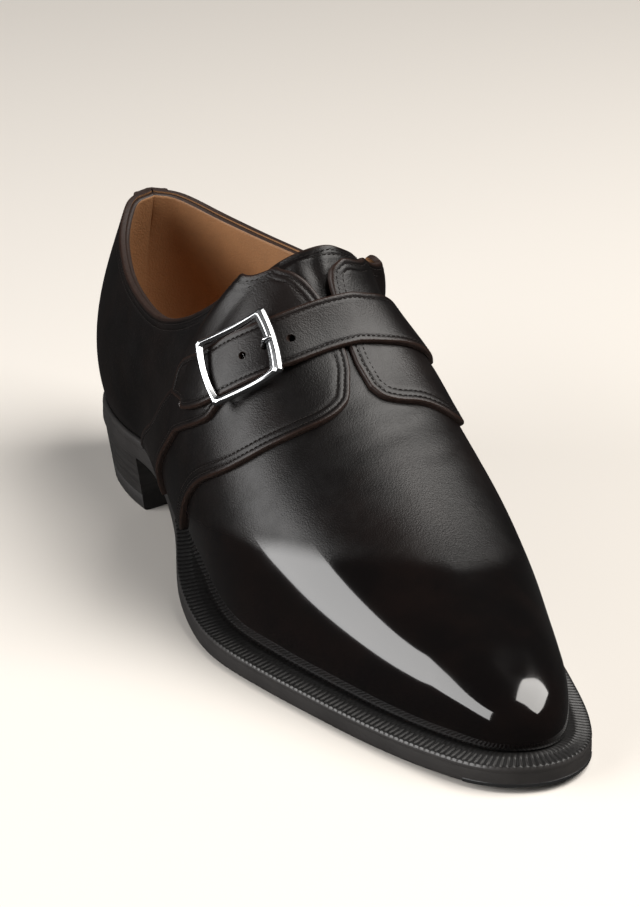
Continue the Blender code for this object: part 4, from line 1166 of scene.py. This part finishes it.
def punch(strap, centre, direction):
    """Cuts a round hole through the strap."""
    bm = bmesh.new()
    bmesh.ops.create_cone(bm, segments=28, radius1=HOLE_RADIUS, radius2=HOLE_RADIUS, depth=PUNCH_LENGTH,
                          cap_ends=True)
    turn = Vector(direction).to_track_quat("Z", "Y").to_matrix().to_4x4()
    bm.transform(Matrix.Translation(Vector(centre)) @ turn)
    mesh = bpy.data.meshes.new("punch")
    bm.to_mesh(mesh)
    bm.free()
    mesh.materials.append(finish("raw_edge"))
    cutter = bpy.data.objects.new("punch", mesh)
    bpy.context.scene.collection.objects.link(cutter)
    cut = strap.modifiers.new("Hole", "BOOLEAN")
    cut.operation, cut.solver, cut.object = "DIFFERENCE", "EXACT", cutter
    cut.material_mode = "TRANSFER"
    bpy.context.view_layer.update()
    shown = bpy.data.meshes.new_from_object(strap.evaluated_get(bpy.context.evaluated_depsgraph_get()))
    strap.modifiers.clear()
    strap.data = shown
    bpy.data.objects.remove(cutter)


TONGUE_COLUMNS = 28
TONGUE_EVENED = 30
TONGUE_SEAM_WIDTH = 0.0005
TONGUE_ROUNDING = 0.0009
TONGUE_EDGE_FALL = 0.0006
# Folds of the tongue: place across, width and height
TONGUE_FOLDS = ((-0.42, 0.07, 0.0005), (-0.28, 0.05, -0.0004), (-0.16, 0.06, 0.0004), (0.3, 0.08, 0.0003))


def make_tongue():
    """The tongue, inside the throat, with its soft folds and a double row of stitches."""
    sizes = bpy.context.scene.shoe_sizes
    table = Table(TONGUE)
    at = np.linspace(0, table.last, 60)
    edge_share, edge_up, ridge_share = table(at).T
    halves = []
    for side in (-1.0, 1.0):
        sides = np.full(len(at), side)
        edge, ridge = surface(edge_share, sides, edge_up), surface(ridge_share, sides, np.ones(len(at)))
        reach = TONGUE_FULLNESS * np.linalg.norm(ridge - edge, axis=-1)[:, None]
        leaving = unit(surface(edge_share, sides, edge_up + 0.03) - edge)
        first, second = edge + reach * leaving, ridge - reach * arrival(angle_of(ridge_share), sides)
        t = np.linspace(0, 1, TONGUE_COLUMNS)[None, :, None]
        down = 1 - t
        halves.append(down**3 * edge[:, None] + 3 * down**2 * t * first[:, None]
                      + 3 * down * t**2 * second[:, None] + t**3 * ridge[:, None])
    grid = np.concatenate([halves[0], halves[1][:, -2::-1]], 1)
    stretch = ease(at / table.last, 0.75, 1.0)[:, None, None]
    grid = grid + TONGUE_RISE * stretch * unit(np.gradient(grid, axis=0))
    for _ in range(TONGUE_EVENED):
        grid[:, 1:-1] = (grid[:, :-2] + 2 * grid[:, 1:-1] + grid[:, 2:]) / 4
    normal = softened_normals(grid, 8)
    away = lengths_of_columns(grid)
    span = np.linspace(-1, 1, grid.shape[1])[None, :]
    folds = sum(height * np.exp(-((span - place - 0.10 * at[:, None] / table.last) / width) ** 2)
                for place, width, height in TONGUE_FOLDS)
    folds = folds * ease(at / table.last, 0.45, 0.75)[:, None] * ease(away, 0.0, 0.006)
    seams = (sizes.seam_inset, sizes.seam_inset + sizes.seam_gap)
    level = sunk(folds - (UPPER_WALL + TONGUE_GAP), away, seams, TONGUE_SEAM_WIDTH)
    level = level - TONGUE_EDGE_FALL * (1 - rounded(away, TONGUE_ROUNDING))
    top = grid + normal * level[..., None]
    under = grid - normal * (UPPER_WALL + TONGUE_GAP + TONGUE_WALL)
    columns = grid.shape[1]
    tongue = two_skins("tongue_leather", top, under, layers("quarter_calf"), away, away)
    fit(tongue, "upper_calf", "tongue")
    thread = Thread()
    for seam in seams:
        line, off = [np.array([column_at(values[:, k], away[:, k], seam) for k in range(2, columns - 2)])
                     for values in (top, normal)]
        thread.run(line, off)
    thread.build("tongue_stitches", finish("thread"), "upper_calf")


def grid_normals(grid):
    along, across = np.gradient(grid, axis=0), np.gradient(grid, axis=1)
    normal = unit(np.cross(across, along))
    return normal if normal[..., 2].mean() > 0 else -normal


def softened_normals(grid, rounds):
    """The grid's normals, evened out over their neighbours in the row."""
    normal = grid_normals(grid)
    for _ in range(rounds):
        normal[:, 1:-1] = normal[:, :-2] + 2 * normal[:, 1:-1] + normal[:, 2:]
        normal = unit(normal)
    return normal


def lengths_of_columns(grid):
    """How far each point of a grid is from its last row, along its column."""
    steps = np.linalg.norm(np.diff(grid, axis=0), axis=-1)
    back = np.cumsum(steps[::-1], axis=0)[::-1]
    return np.concatenate([back, np.zeros((1, grid.shape[1]))])


def column_at(values, away, distance):
    """A column's value at a distance from its last row."""
    return np.array([np.interp(distance, away[::-1], part[::-1]) for part in values.T])


TAB_SEAM = 0.0018
TAB_TOP = BAND_BASE + 0.0010
# The width that the tab's columns are spread for
TAB_WIDTH = 0.016


def make_heel_tab():
    """The small stitched tab over the top of the back seam."""
    table = Table(HEEL_TAB)
    up, half = table(np.linspace(0, table.last, 60)).T
    shares = (2 * edge_stations(TAB_WIDTH, 10) - 1)[None, :] * half[:, None]
    ups = np.broadcast_to(up[:, None], shares.shape)
    grid = np.stack([np.abs(shares) + 1e-5, np.where(shares <= 0, -1.0, 1.0), ups], -1)
    border = np.concatenate([grid[::-1, 0], grid[0, 1:-1], grid[:, -1]])
    plate = Plate(grid, border, QUARTER_TOP - PLATE_SINK, TAB_TOP)
    fit(plate.build("heel_tab_leather", layers("strap_calf"), (TAB_SEAM,)), "strap_calf", "heel_tab")
    sew("heel_tab_stitches", "strap_calf", [plate], (TAB_SEAM,))


def ring_points(angles, side, levels):
    """Rows of points along the sole's edge; levels are insets and heights for every angle."""
    return np.stack([sole_point(angles, side, inset, height) for inset, height in levels], 1)


def edge_path(share, count, through_toe):
    """Angles and sides from the outer side round one end of the sole to the inner side, evenly."""
    half = 600
    angles = np.linspace(angle_of(share), math.pi if through_toe else 0.0, half)
    angles = np.concatenate([angles, angles[-2::-1]])
    sides = np.concatenate([np.full(half, -1.0), np.full(half - 1, 1.0)])
    even = evenly(outline(angles, sides), count)
    nearest = np.interp(even, np.arange(len(angles)), angles)
    return nearest, np.where(even < half - 0.5, -1.0, 1.0), lengths_along(outline(angles, sides))[-1]


def ring_piece(name, points, finishes, face_finish=None, wrap=False, sharp=50):
    """A closed strip from rows of section points: wrap joins its ends, or else they are capped."""
    rows, columns = points.shape[:2]
    closed = np.concatenate([points, points[:, :1]], 1)
    faces = grid_faces(rows, columns + 1, wrap).tolist()
    if not wrap:
        last = (rows - 1) * (columns + 1)
        faces += [tuple(range(columns)), tuple(range(last, last + columns))[::-1]]
    index = None
    if face_finish is not None:
        index = np.concatenate([np.tile(face_finish, rows - 1), [0, 0]])
    return add_piece(name, closed.reshape(-1, 3), faces, finishes, index, sharp=sharp)


def circles(centres, side, up, radii, count):
    """Rings of points round centres, in the directions side and up."""
    turn = 2 * np.pi * np.arange(count)[:, None] / count
    return centres[:, None] + radii * (side[:, None] * np.cos(turn) + up[:, None] * np.sin(turn))


WELT_TOP = OUTSOLE_THICK + WELT_THICK
WELT_START = 0.375
RAND_END = 0.372
WELT_TUCK = 0.0050
TOE_PLATE_START = 0.955
STEPS_PER_MARK = 8


def make_welt():
    """The welt, with its wheeled top, and the plain rand round the heel seat."""
    sizes = bpy.context.scene.shoe_sizes
    _, _, length = edge_path(WELT_START, 10, True)
    marks = int(length / sizes.wheel_pitch)
    angles, sides, _ = edge_path(WELT_START, marks * STEPS_PER_MARK + 1, True)
    phase = np.arange(len(angles)) / STEPS_PER_MARK * 2 * np.pi
    groove = sizes.wheel_depth * (0.5 + 0.5 * np.cos(phase)) ** 1.5
    inner = ledge(share_of(angles)) + WELT_TUCK
    base, slope = OUTSOLE_THICK + 0.00004, sizes.welt_fall
    levels = [
        (0.00010, base), (0.00002, base + 0.0010), (0.00005, WELT_TOP - 0.0012 - slope),
        (0.00022, WELT_TOP - 0.0004 - slope),
        (0.00055 + groove * 0.3, WELT_TOP - 0.00012 - slope - groove * 0.35),
        (0.0010, WELT_TOP - slope * 0.95 - groove), (0.0018, WELT_TOP - slope * 0.8 - groove),
        (0.0030, WELT_TOP - slope * 0.6 - groove), (0.0042, WELT_TOP - slope * 0.4 - groove),
        (0.0050, WELT_TOP - slope * 0.3 - groove * 0.6), (0.0056, WELT_TOP - slope * 0.2),
        (inner, WELT_TOP), (inner, base),
    ]
    face_finish = [0, 0, 0, 1, 1, 1, 1, 1, 1, 1, 1, 1, 0]
    made_of = [finish("sole_edge"), finish("welt_top")]
    welt = ring_piece("welt_strip", ring_points(angles, sides, levels), made_of, face_finish)
    fit(welt, "welt_leather", "welt")

    angles, sides, _ = edge_path(RAND_END, 240, False)
    inner = ledge(share_of(angles)) + WELT_TUCK
    levels = [(0.00010, base), (0.0, base + 0.0010), (0.0001, WELT_TOP - 0.0010), (0.0005, WELT_TOP - 0.0003),
              (0.0012, WELT_TOP - 0.0001), (0.0022, WELT_TOP - 0.00005), (inner, WELT_TOP), (inner, base)]
    rand = ring_piece("heel_seat_rand", ring_points(angles, sides, levels), made_of, [0, 0, 0, 0, 1, 1, 1, 0])
    fit(rand, "welt_leather", "heel_rand")


def plate_across(name, angles, edge, finishes, bottom_finish):
    """A plate over the whole sole: bottom, edge profile and top on both sides."""
    lateral, medial = [[sole_point(angles, side, inset, height) for inset, height in edge]
                       for side in (-1.0, 1.0)]
    across = np.linspace(0, 1, 15)[1:-1]
    bottom = [medial[0] * (1 - t) + lateral[0] * t for t in across]
    top = [lateral[-1] * (1 - t) + medial[-1] * t for t in across]
    points = np.stack(bottom + lateral + top + medial[::-1], 1)
    others = points.shape[1] - len(bottom) - 1
    return ring_piece(name, points, finishes, [bottom_finish] * len(bottom) + [0] * others + [bottom_finish])


def make_outsole():
    """The leather outsole with its trimmed edge, and the steel plate let into its toe."""
    angles = np.linspace(0.0, math.pi, 321)
    edge = [(0.0042, 0.00002), (0.0012, 0.0), (0.00055, 0.00010), (0.00018, 0.00040), (0.00004, 0.0009),
            (0.0, 0.0018), (0.0, 0.0032), (0.00005, 0.0042), (0.00012, OUTSOLE_THICK)]
    made_of = [finish("sole_edge"), finish("sole_leather")]
    outsole = plate_across("outsole_leather_sole", angles, edge, made_of, 1)
    fit(outsole, "outsole_leather", "outsole")

    angles, sides, _ = edge_path(TOE_PLATE_START, 90, True)
    levels = [(-0.00012, 0.00030), (-0.00012, 0.00120), (0.0005, 0.00130), (0.0060, 0.00110),
              (0.0060, -0.00002), (0.0006, -0.00002), (0.0001, 0.00008)]
    plate = ring_piece("toe_plate", ring_points(angles, sides, levels), [finish("steel")])
    fit(plate, "polished_steel")


BREAST_HOLLOW = 0.0035
HEEL_INSET = 0.0006
HEEL_BACK_RAKE = 0.0012


def heel_ring(count, inset, back_inset):
    """The heel's plan: round back, straight sides and a slightly hollow breast."""
    angles = np.linspace(0.0, angle_of(HEEL_LENGTH / OUTSOLE_LENGTH), count)
    halves = []
    for side in (-1.0, 1.0):
        half = outline(angles, np.full(count, side)) - inset * outline_normal(angles, np.full(count, side))
        half[:, 1] -= back_inset * (1 - ease(share_of(angles), 0.0, 0.12))
        halves.append(half)
    lateral, medial = halves
    t = np.linspace(0, 1, 23)[1:-1, None]
    breast = lateral[-1] * (1 - t) + medial[-1] * t
    breast[:, 1] += BREAST_HOLLOW * np.sin(math.pi * t[:, 0])
    return np.concatenate([lateral, breast, medial[:0:-1]])


def heel_block(name, levels, made_of):
    """A block of the heel from levels of height and extra inset."""
    rings = []
    for z, inset in levels:
        drop = 1 - z / HEEL_HEIGHT
        ring = heel_ring(64, HEEL_INSET + HEEL_TAPER * drop + inset, HEEL_BACK_RAKE * drop)
        ring[:, 2] = z
        rings.append(ring)
    return ring_piece(name, np.stack(rings), [made_of])


def make_heel():
    """Stacked lifts with their joints, and the rubber top piece."""
    low, high, lifts = TOP_PIECE_THICK, HEEL_HEIGHT - 0.00005, 4
    levels = [(low, 0.0003)]
    for number in range(lifts):
        start, end = (low + (high - low) * (number + k) / lifts for k in (0, 1))
        levels += [(start + 0.00008, 0.00012), (start + 0.0003, 0.0),
                   (end - 0.0003, 0.0), (end - 0.00008, 0.00012)]
    levels.append((high, 0.0003))
    fit(heel_block("heel_lifts", levels, finish("heel_lifts")), "heel_leather", "heel_stack")
    levels = [(0.0, 0.0008), (0.00015, 0.0003), (0.0006, 0.0), (0.0030, 0.0), (TOP_PIECE_THICK - 0.0003, 0.0),
              (TOP_PIECE_THICK - 0.00005, 0.00025)]
    fit(heel_block("heel_top_piece", levels, finish("heel_rubber")), "top_piece_rubber", "top_piece")


def make_sock():
    """The sock of tan leather on the insole."""
    angles = np.linspace(0.004, math.pi - 0.004, 160)
    gap = ledge(share_of(angles)) + UPPER_WALL + CLEARANCE + 0.0006
    top = FEATHER_HEIGHT + INSOLE_THICK
    edge = [(gap, FEATHER_HEIGHT), (gap, top - 0.0007), (gap + 0.0003, top - 0.0002), (gap + 0.0009, top)]
    sock = plate_across("sock_lining", angles, edge, [finish("lining")], 0)
    fit(sock, "insole_leather", "insole")


def buckle_axes():
    """The buckle's centre on the strap, and its directions along, across and off it."""
    at = np.interp(BUCKLE_AT, [row[1] for row in FREE_STRAP], np.arange(len(FREE_STRAP)))
    places, along, across, _ = strap_frame(at)
    front = surface(*moved(places, across * STRAP_WIDTH / 2).T)[0]
    rear = surface(*moved(places, -across * STRAP_WIDTH / 2).T)[0]
    across = unit(front - rear)
    off = unit(np.cross(along[0], across))
    return surface(*places.T)[0], unit(np.cross(across, off)), across, off


def frame_height(along):
    """The frame's long sides dip to the pin and rise to the two ends, over the strap."""
    low = FRAME_HEIGHT + SIDE_DIP_FILL
    lift = np.where(along < 0, PRONG_END_LIFT, STRAP_END_LIFT) - SIDE_DIP_FILL
    return low + lift * np.minimum(1, np.abs(along) / (BUCKLE_LENGTH * 0.42)) ** 2


def frame_path():
    """The frame's course as shares of its half length and half width, with clipped corners."""
    clip = 0.94
    corners = np.array([(-1, -clip), (-1, clip), (-clip, 1), (clip, 1),
                        (1, clip), (1, -clip), (clip, -1), (-clip, -1)])
    path = []
    for k, count in enumerate((28, 3) * 4):
        t = np.arange(count)[:, None] / count
        path.append(corners[k] * (1 - t) + corners[(k + 1) % 8] * t)
    return np.concatenate(path)


# The bars' section: share from the outer edge to the inner edge, and share of the thickness
BAR_SECTION = ((0.0, 0.0), (0.0, 0.45), (0.25, 0.9), (0.6, 1.0), (1.0, 0.55), (1.0, 0.0))
ARRIS_WIDTH = 0.00022
ARRIS_ANGLE = math.radians(18)


def make_buckle():
    """The frame with its bevelled bars, the pin and the prong."""
    centre, along, across, off = buckle_axes()

    def point(*reach):
        a, w, h = [np.asarray(value)[..., None] for value in reach]
        return centre + along * a + across * w + off * h

    u, w = frame_path().T
    ends = np.isclose(np.abs(u), 1)
    bow = BUCKLE_BOW * np.maximum(0, 1 - w * w) * ends
    bar = np.where(u < 0, BUCKLE_FRONT_BAR, BUCKLE_BAR)
    outer = (BUCKLE_LENGTH / 2 * u + np.copysign(bow, u), BUCKLE_WIDTH / 2 * w)
    inner = ((BUCKLE_LENGTH / 2 - bar) * u + np.copysign(bow, u), (BUCKLE_WIDTH / 2 - BUCKLE_BAR) * w)
    rings = []
    for share, up in BAR_SECTION:
        a = outer[0] + (inner[0] - outer[0]) * share
        c = outer[1] + (inner[1] - outer[1]) * share
        rings.append(point(a, c, frame_height((outer[0] + inner[0]) / 2) + BUCKLE_THICK * up))
    buckle = ring_piece("buckle_frame_steel", np.stack(rings, 1), [finish("steel")], wrap=True, sharp=24)
    bevel = buckle.modifiers.new("Polished arrises", "BEVEL")
    bevel.width, bevel.segments = ARRIS_WIDTH, 3
    bevel.limit_method, bevel.angle_limit = "ANGLE", ARRIS_ANGLE
    fit(buckle, "polished_steel", "buckle_frame")

    half = BUCKLE_WIDTH / 2 - BUCKLE_BAR - CLEARANCE
    pin = [point(0.0, side * half, PIN_HEIGHT) for side in (-1.0, -0.3, 0.3, 1.0)]
    fit(rod("buckle_pin_steel", pin, PIN_RADIUS), "polished_steel", "buckle_pin")

    reach = -(BUCKLE_LENGTH / 2 + BUCKLE_BOW * 0.5)
    rest = frame_height(reach) + BUCKLE_THICK + PRONG_RADIUS + CLEARANCE
    over = FREE_STRAP_BASE + STRAP_WALL + PRONG_RADIUS
    out = HOLE_AT - HOLE_SPACING / 2
    prong = [point(out + 0.0010, 0.0, over - 0.0026), point(out + 0.0003, 0.0, over - 0.0010),
             point(out - 0.0006, 0.0, over), point(out - 0.0018, 0.0, rest), point(reach, 0.0, rest)]
    fit(rod("buckle_prong_steel", prong, PRONG_RADIUS), "polished_steel", "buckle_prong")


def rod(name, through, radius):
    """A round wire through points, smooth, with rounded ends."""
    through = np.array(through)
    lengths = lengths_along(through)
    at = np.linspace(0, lengths[-1], 60)
    line = np.stack([Course(lengths, column)(at) for column in through.T], -1)
    along = unit(np.gradient(line, axis=0))
    side = unit(np.cross(along, [0.3, 0.2, 0.9]))
    up = np.cross(along, side)
    close = np.minimum(at, lengths[-1] - at) / radius
    width = radius * np.sqrt(np.clip(1 - (1 - np.clip(close, 0, 1)) ** 2, 0.04, 1))
    points = circles(line, side, up, width[:, None, None], 20)
    return ring_piece(name, points, [finish("steel")])


# Where the photograph's shoe was seen from, and the point that the lights face
VIEW_POSITION = (-0.4650, -1.1674, 0.5185)
LIGHT_TARGET = (0.0, -0.12, 0.03)
# Softboxes: centre, width, height, power and colour
SOFTBOXES = {
    "softbox_left": ((-1.34, -0.04, 0.54), 1.7, 0.78, 24, (1.0, 0.99, 0.98)),
    "softbox_over": ((0.64, -0.60, 1.22), 1.3, 1.1, 34, (1.0, 0.97, 0.93)),
}
ROOM_COLOUR = (1.0, 0.97, 0.94, 1.0)
FLOOR_REACH = 4.0
FLOOR_DROP = 0.0001
SENSOR_HEIGHT = 36.0


def add_softbox(name, centre, width, height, power, colour):
    """A rectangular light that faces the shoe."""
    light = bpy.data.lights.new(name, "AREA")
    light.shape, light.size, light.size_y = "RECTANGLE", width, height
    light.energy, light.color = power, colour
    lamp = bpy.data.objects.new(name, light)
    bpy.context.scene.collection.objects.link(lamp)
    lamp.location = centre
    lamp.rotation_euler = (Vector(centre) - Vector(LIGHT_TARGET)).to_track_quat("Z", "Y").to_euler()


def make_stage():
    """Pale floor, soft studio light and the camera."""
    stage = bpy.context.scene.shoe_stage
    bm = bmesh.new()
    bmesh.ops.create_grid(bm, x_segments=24, y_segments=24, size=FLOOR_REACH)
    mesh = bpy.data.meshes.new("studio_floor")
    bm.to_mesh(mesh)
    bm.free()
    mesh.materials.append(finish("floor"))
    floor = bpy.data.objects.new("studio_floor", mesh)
    bpy.context.scene.collection.objects.link(floor)
    floor.location.z = -FLOOR_DROP
    # The photograph's polish mirrors no floor, so the floor is left out of reflections
    floor.visible_glossy = False

    for name, (centre, width, height, power, colour) in SOFTBOXES.items():
        add_softbox(name, centre, width, height, stage.power * power, colour)

    scene = bpy.context.scene
    scene.view_settings.view_transform = "Standard"
    world = bpy.data.worlds.new("studio_room")
    scene.world = world
    world.use_nodes = True
    room = world.node_tree.nodes["Background"]
    room.inputs["Color"].default_value = ROOM_COLOUR
    room.inputs["Strength"].default_value = stage.room

    camera = bpy.data.cameras.new("camera")
    eye = bpy.data.objects.new("camera", camera)
    scene.collection.objects.link(eye)
    scene.camera = eye
    camera.sensor_fit, camera.sensor_height = "VERTICAL", SENSOR_HEIGHT
    camera.lens = stage.lens
    eye.location = VIEW_POSITION
    eye.rotation_euler = (Vector(VIEW_POSITION) - Vector(stage.aim)).to_track_quat("Z", "Y").to_euler()


class SHOE_PG_colours(bpy.types.PropertyGroup):
    """Colours of the shoe's materials."""

    calf: FloatVectorProperty(name="Calf", description="Main colour of the outer leather",
                              subtype="COLOR", default=(0.0028, 0.0022, 0.0022), min=0, max=1)
    burnish: FloatVectorProperty(name="Burnish", description="Warmer brown that shows through the polish",
                                 subtype="COLOR", default=(0.0070, 0.0042, 0.0036), min=0, max=1)
    raw_edge: FloatVectorProperty(name="Raw edge", description="Cut edges of the leather",
                                  subtype="COLOR", default=(0.030, 0.0150, 0.0105), min=0, max=1)
    lining: FloatVectorProperty(name="Lining", description="Lining and sock leather",
                                subtype="COLOR", default=(0.34, 0.170, 0.075), min=0, max=1)
    thread: FloatVectorProperty(name="Thread", description="Stitching",
                                subtype="COLOR", default=(0.0120, 0.0085, 0.0075), min=0, max=1)
    sole_edge: FloatVectorProperty(name="Sole edge", description="Inked edge of the sole and heel",
                                   subtype="COLOR", default=(0.032, 0.030, 0.0295), min=0, max=1)
    welt: FloatVectorProperty(name="Welt", description="Top of the welt",
                              subtype="COLOR", default=(0.0085, 0.0080, 0.0078), min=0, max=1)
    tread: FloatVectorProperty(name="Tread", description="Underside of the outsole",
                               subtype="COLOR", default=(0.060, 0.038, 0.027), min=0, max=1)


class SHOE_PG_sizes(bpy.types.PropertyGroup):
    """Sizes of the shoe's fine work."""

    stitch_pitch: FloatProperty(name="Stitch pitch", description="Length from one stitch to the next",
                                unit="LENGTH", default=0.0018, min=0.001, max=0.005)
    thread_radius: FloatProperty(name="Thread radius", description="Half the thread's thickness",
                                 unit="LENGTH", default=0.00019, min=0.0001, max=0.0005)
    seam_inset: FloatProperty(name="Seam inset", description="From a leather edge to its first seam",
                              unit="LENGTH", default=0.0021, min=0.001, max=0.004)
    seam_gap: FloatProperty(name="Seam gap", description="Between the two rows of a double seam",
                            unit="LENGTH", default=0.0021, min=0.001, max=0.004)
    seam_depth: FloatProperty(name="Seam depth", description="How far a seam sinks into the leather",
                              unit="LENGTH", default=0.00018, min=0.0, max=0.0005)
    wheel_pitch: FloatProperty(name="Wheel pitch", description="Spacing of the welt's wheel marks",
                               unit="LENGTH", default=0.0021, min=0.001, max=0.004)
    wheel_depth: FloatProperty(name="Wheel depth", description="Depth of the welt's wheel marks",
                               unit="LENGTH", default=0.0005, min=0.0, max=0.001)
    welt_fall: FloatProperty(name="Welt fall", description="How far the welt's top slopes down to its edge",
                             unit="LENGTH", default=0.0009, min=0.0, max=0.002)
    crease_depth: FloatProperty(name="Crease depth", description="Depth of the deepest crease of the vamp",
                                unit="LENGTH", default=0.00030, min=0.0, max=0.001)


class SHOE_PG_stage(bpy.types.PropertyGroup):
    """The floor, the light and the camera."""

    floor: FloatVectorProperty(name="Floor", description="Colour of the floor",
                               subtype="COLOR", default=(0.77, 0.735, 0.69), min=0, max=1)
    power: FloatProperty(name="Light power", description="Power of the softboxes, as a multiple",
                         default=1.0, min=0.0, max=10.0)
    room: FloatProperty(name="Room light", description="Strength of the light from the room",
                        default=0.03, min=0.0, max=2.0)
    lens: FloatProperty(name="Lens", description="Focal length in millimetres",
                        default=150.0, min=20.0, max=400.0)
    aim: FloatVectorProperty(name="Aim", description="The point that the camera looks at",
                             subtype="TRANSLATION", default=(0.0, -0.121, 0.052))


class SHOE_OT_sole(bpy.types.Operator):
    """Make the outsole, the toe plate, the welt and the rand"""

    bl_idname = "shoe.make_sole"
    bl_label = "Sole and welt"

    def execute(self, context):
        make_outsole()
        make_welt()
        return {"FINISHED"}


class SHOE_OT_heel(bpy.types.Operator):
    """Make the heel's lifts and its top piece"""

    bl_idname = "shoe.make_heel"
    bl_label = "Heel"

    def execute(self, context):
        make_heel()
        return {"FINISHED"}


class SHOE_OT_upper(bpy.types.Operator):
    """Make the vamp with its lining, the sock and the tongue"""

    bl_idname = "shoe.make_upper"
    bl_label = "Upper"

    def execute(self, context):
        make_upper()
        make_sock()
        make_tongue()
        return {"FINISHED"}


class SHOE_OT_quarters(bpy.types.Operator):
    """Make the stitched quarters and the tab at the heel"""

    bl_idname = "shoe.make_quarters"
    bl_label = "Quarters"

    def execute(self, context):
        make_quarters()
        make_heel_tab()
        return {"FINISHED"}


class SHOE_OT_straps(bpy.types.Operator):
    """Make the two bands and the strap"""

    bl_idname = "shoe.make_straps"
    bl_label = "Straps"

    def execute(self, context):
        make_bands()
        make_strap()
        return {"FINISHED"}


class SHOE_OT_buckle(bpy.types.Operator):
    """Make the buckle's frame, pin and prong"""

    bl_idname = "shoe.make_buckle"
    bl_label = "Buckle"

    def execute(self, context):
        make_buckle()
        return {"FINISHED"}


class SHOE_OT_stage(bpy.types.Operator):
    """Make the floor, the lights and the camera"""

    bl_idname = "shoe.make_stage"
    bl_label = "Stage"

    def execute(self, context):
        make_stage()
        return {"FINISHED"}


class SHOE_PT_panel(bpy.types.Panel):
    """Lists the shoe's sizes, colours and pieces"""

    bl_label = "Monk strap shoe"
    bl_space_type = "VIEW_3D"
    bl_region_type = "UI"
    bl_category = "Shoe"

    def draw(self, context):
        for group in (context.scene.shoe_sizes, context.scene.shoe_colours, context.scene.shoe_stage):
            box = self.layout.box()
            for name in group.__annotations__:
                box.prop(group, name)
        for step in OPERATORS:
            self.layout.operator(step.bl_idname)


GROUPS = {"shoe_colours": SHOE_PG_colours, "shoe_sizes": SHOE_PG_sizes, "shoe_stage": SHOE_PG_stage}
OPERATORS = (SHOE_OT_sole, SHOE_OT_heel, SHOE_OT_upper, SHOE_OT_quarters, SHOE_OT_straps, SHOE_OT_buckle,
             SHOE_OT_stage)


def register():
    for name, group in GROUPS.items():
        bpy.utils.register_class(group)
        setattr(bpy.types.Scene, name, PointerProperty(type=group))
    for made in (*OPERATORS, SHOE_PT_panel):
        bpy.utils.register_class(made)


def unregister():
    for made in (SHOE_PT_panel, *reversed(OPERATORS)):
        bpy.utils.unregister_class(made)
    for name, group in GROUPS.items():
        delattr(bpy.types.Scene, name)
        bpy.utils.unregister_class(group)


def main():
    register()
    bpy.ops.shoe.make_sole()
    bpy.ops.shoe.make_heel()
    bpy.ops.shoe.make_upper()
    bpy.ops.shoe.make_quarters()
    bpy.ops.shoe.make_straps()
    bpy.ops.shoe.make_buckle()
    bpy.ops.shoe.make_stage()


if __name__ == "__main__":
    main()
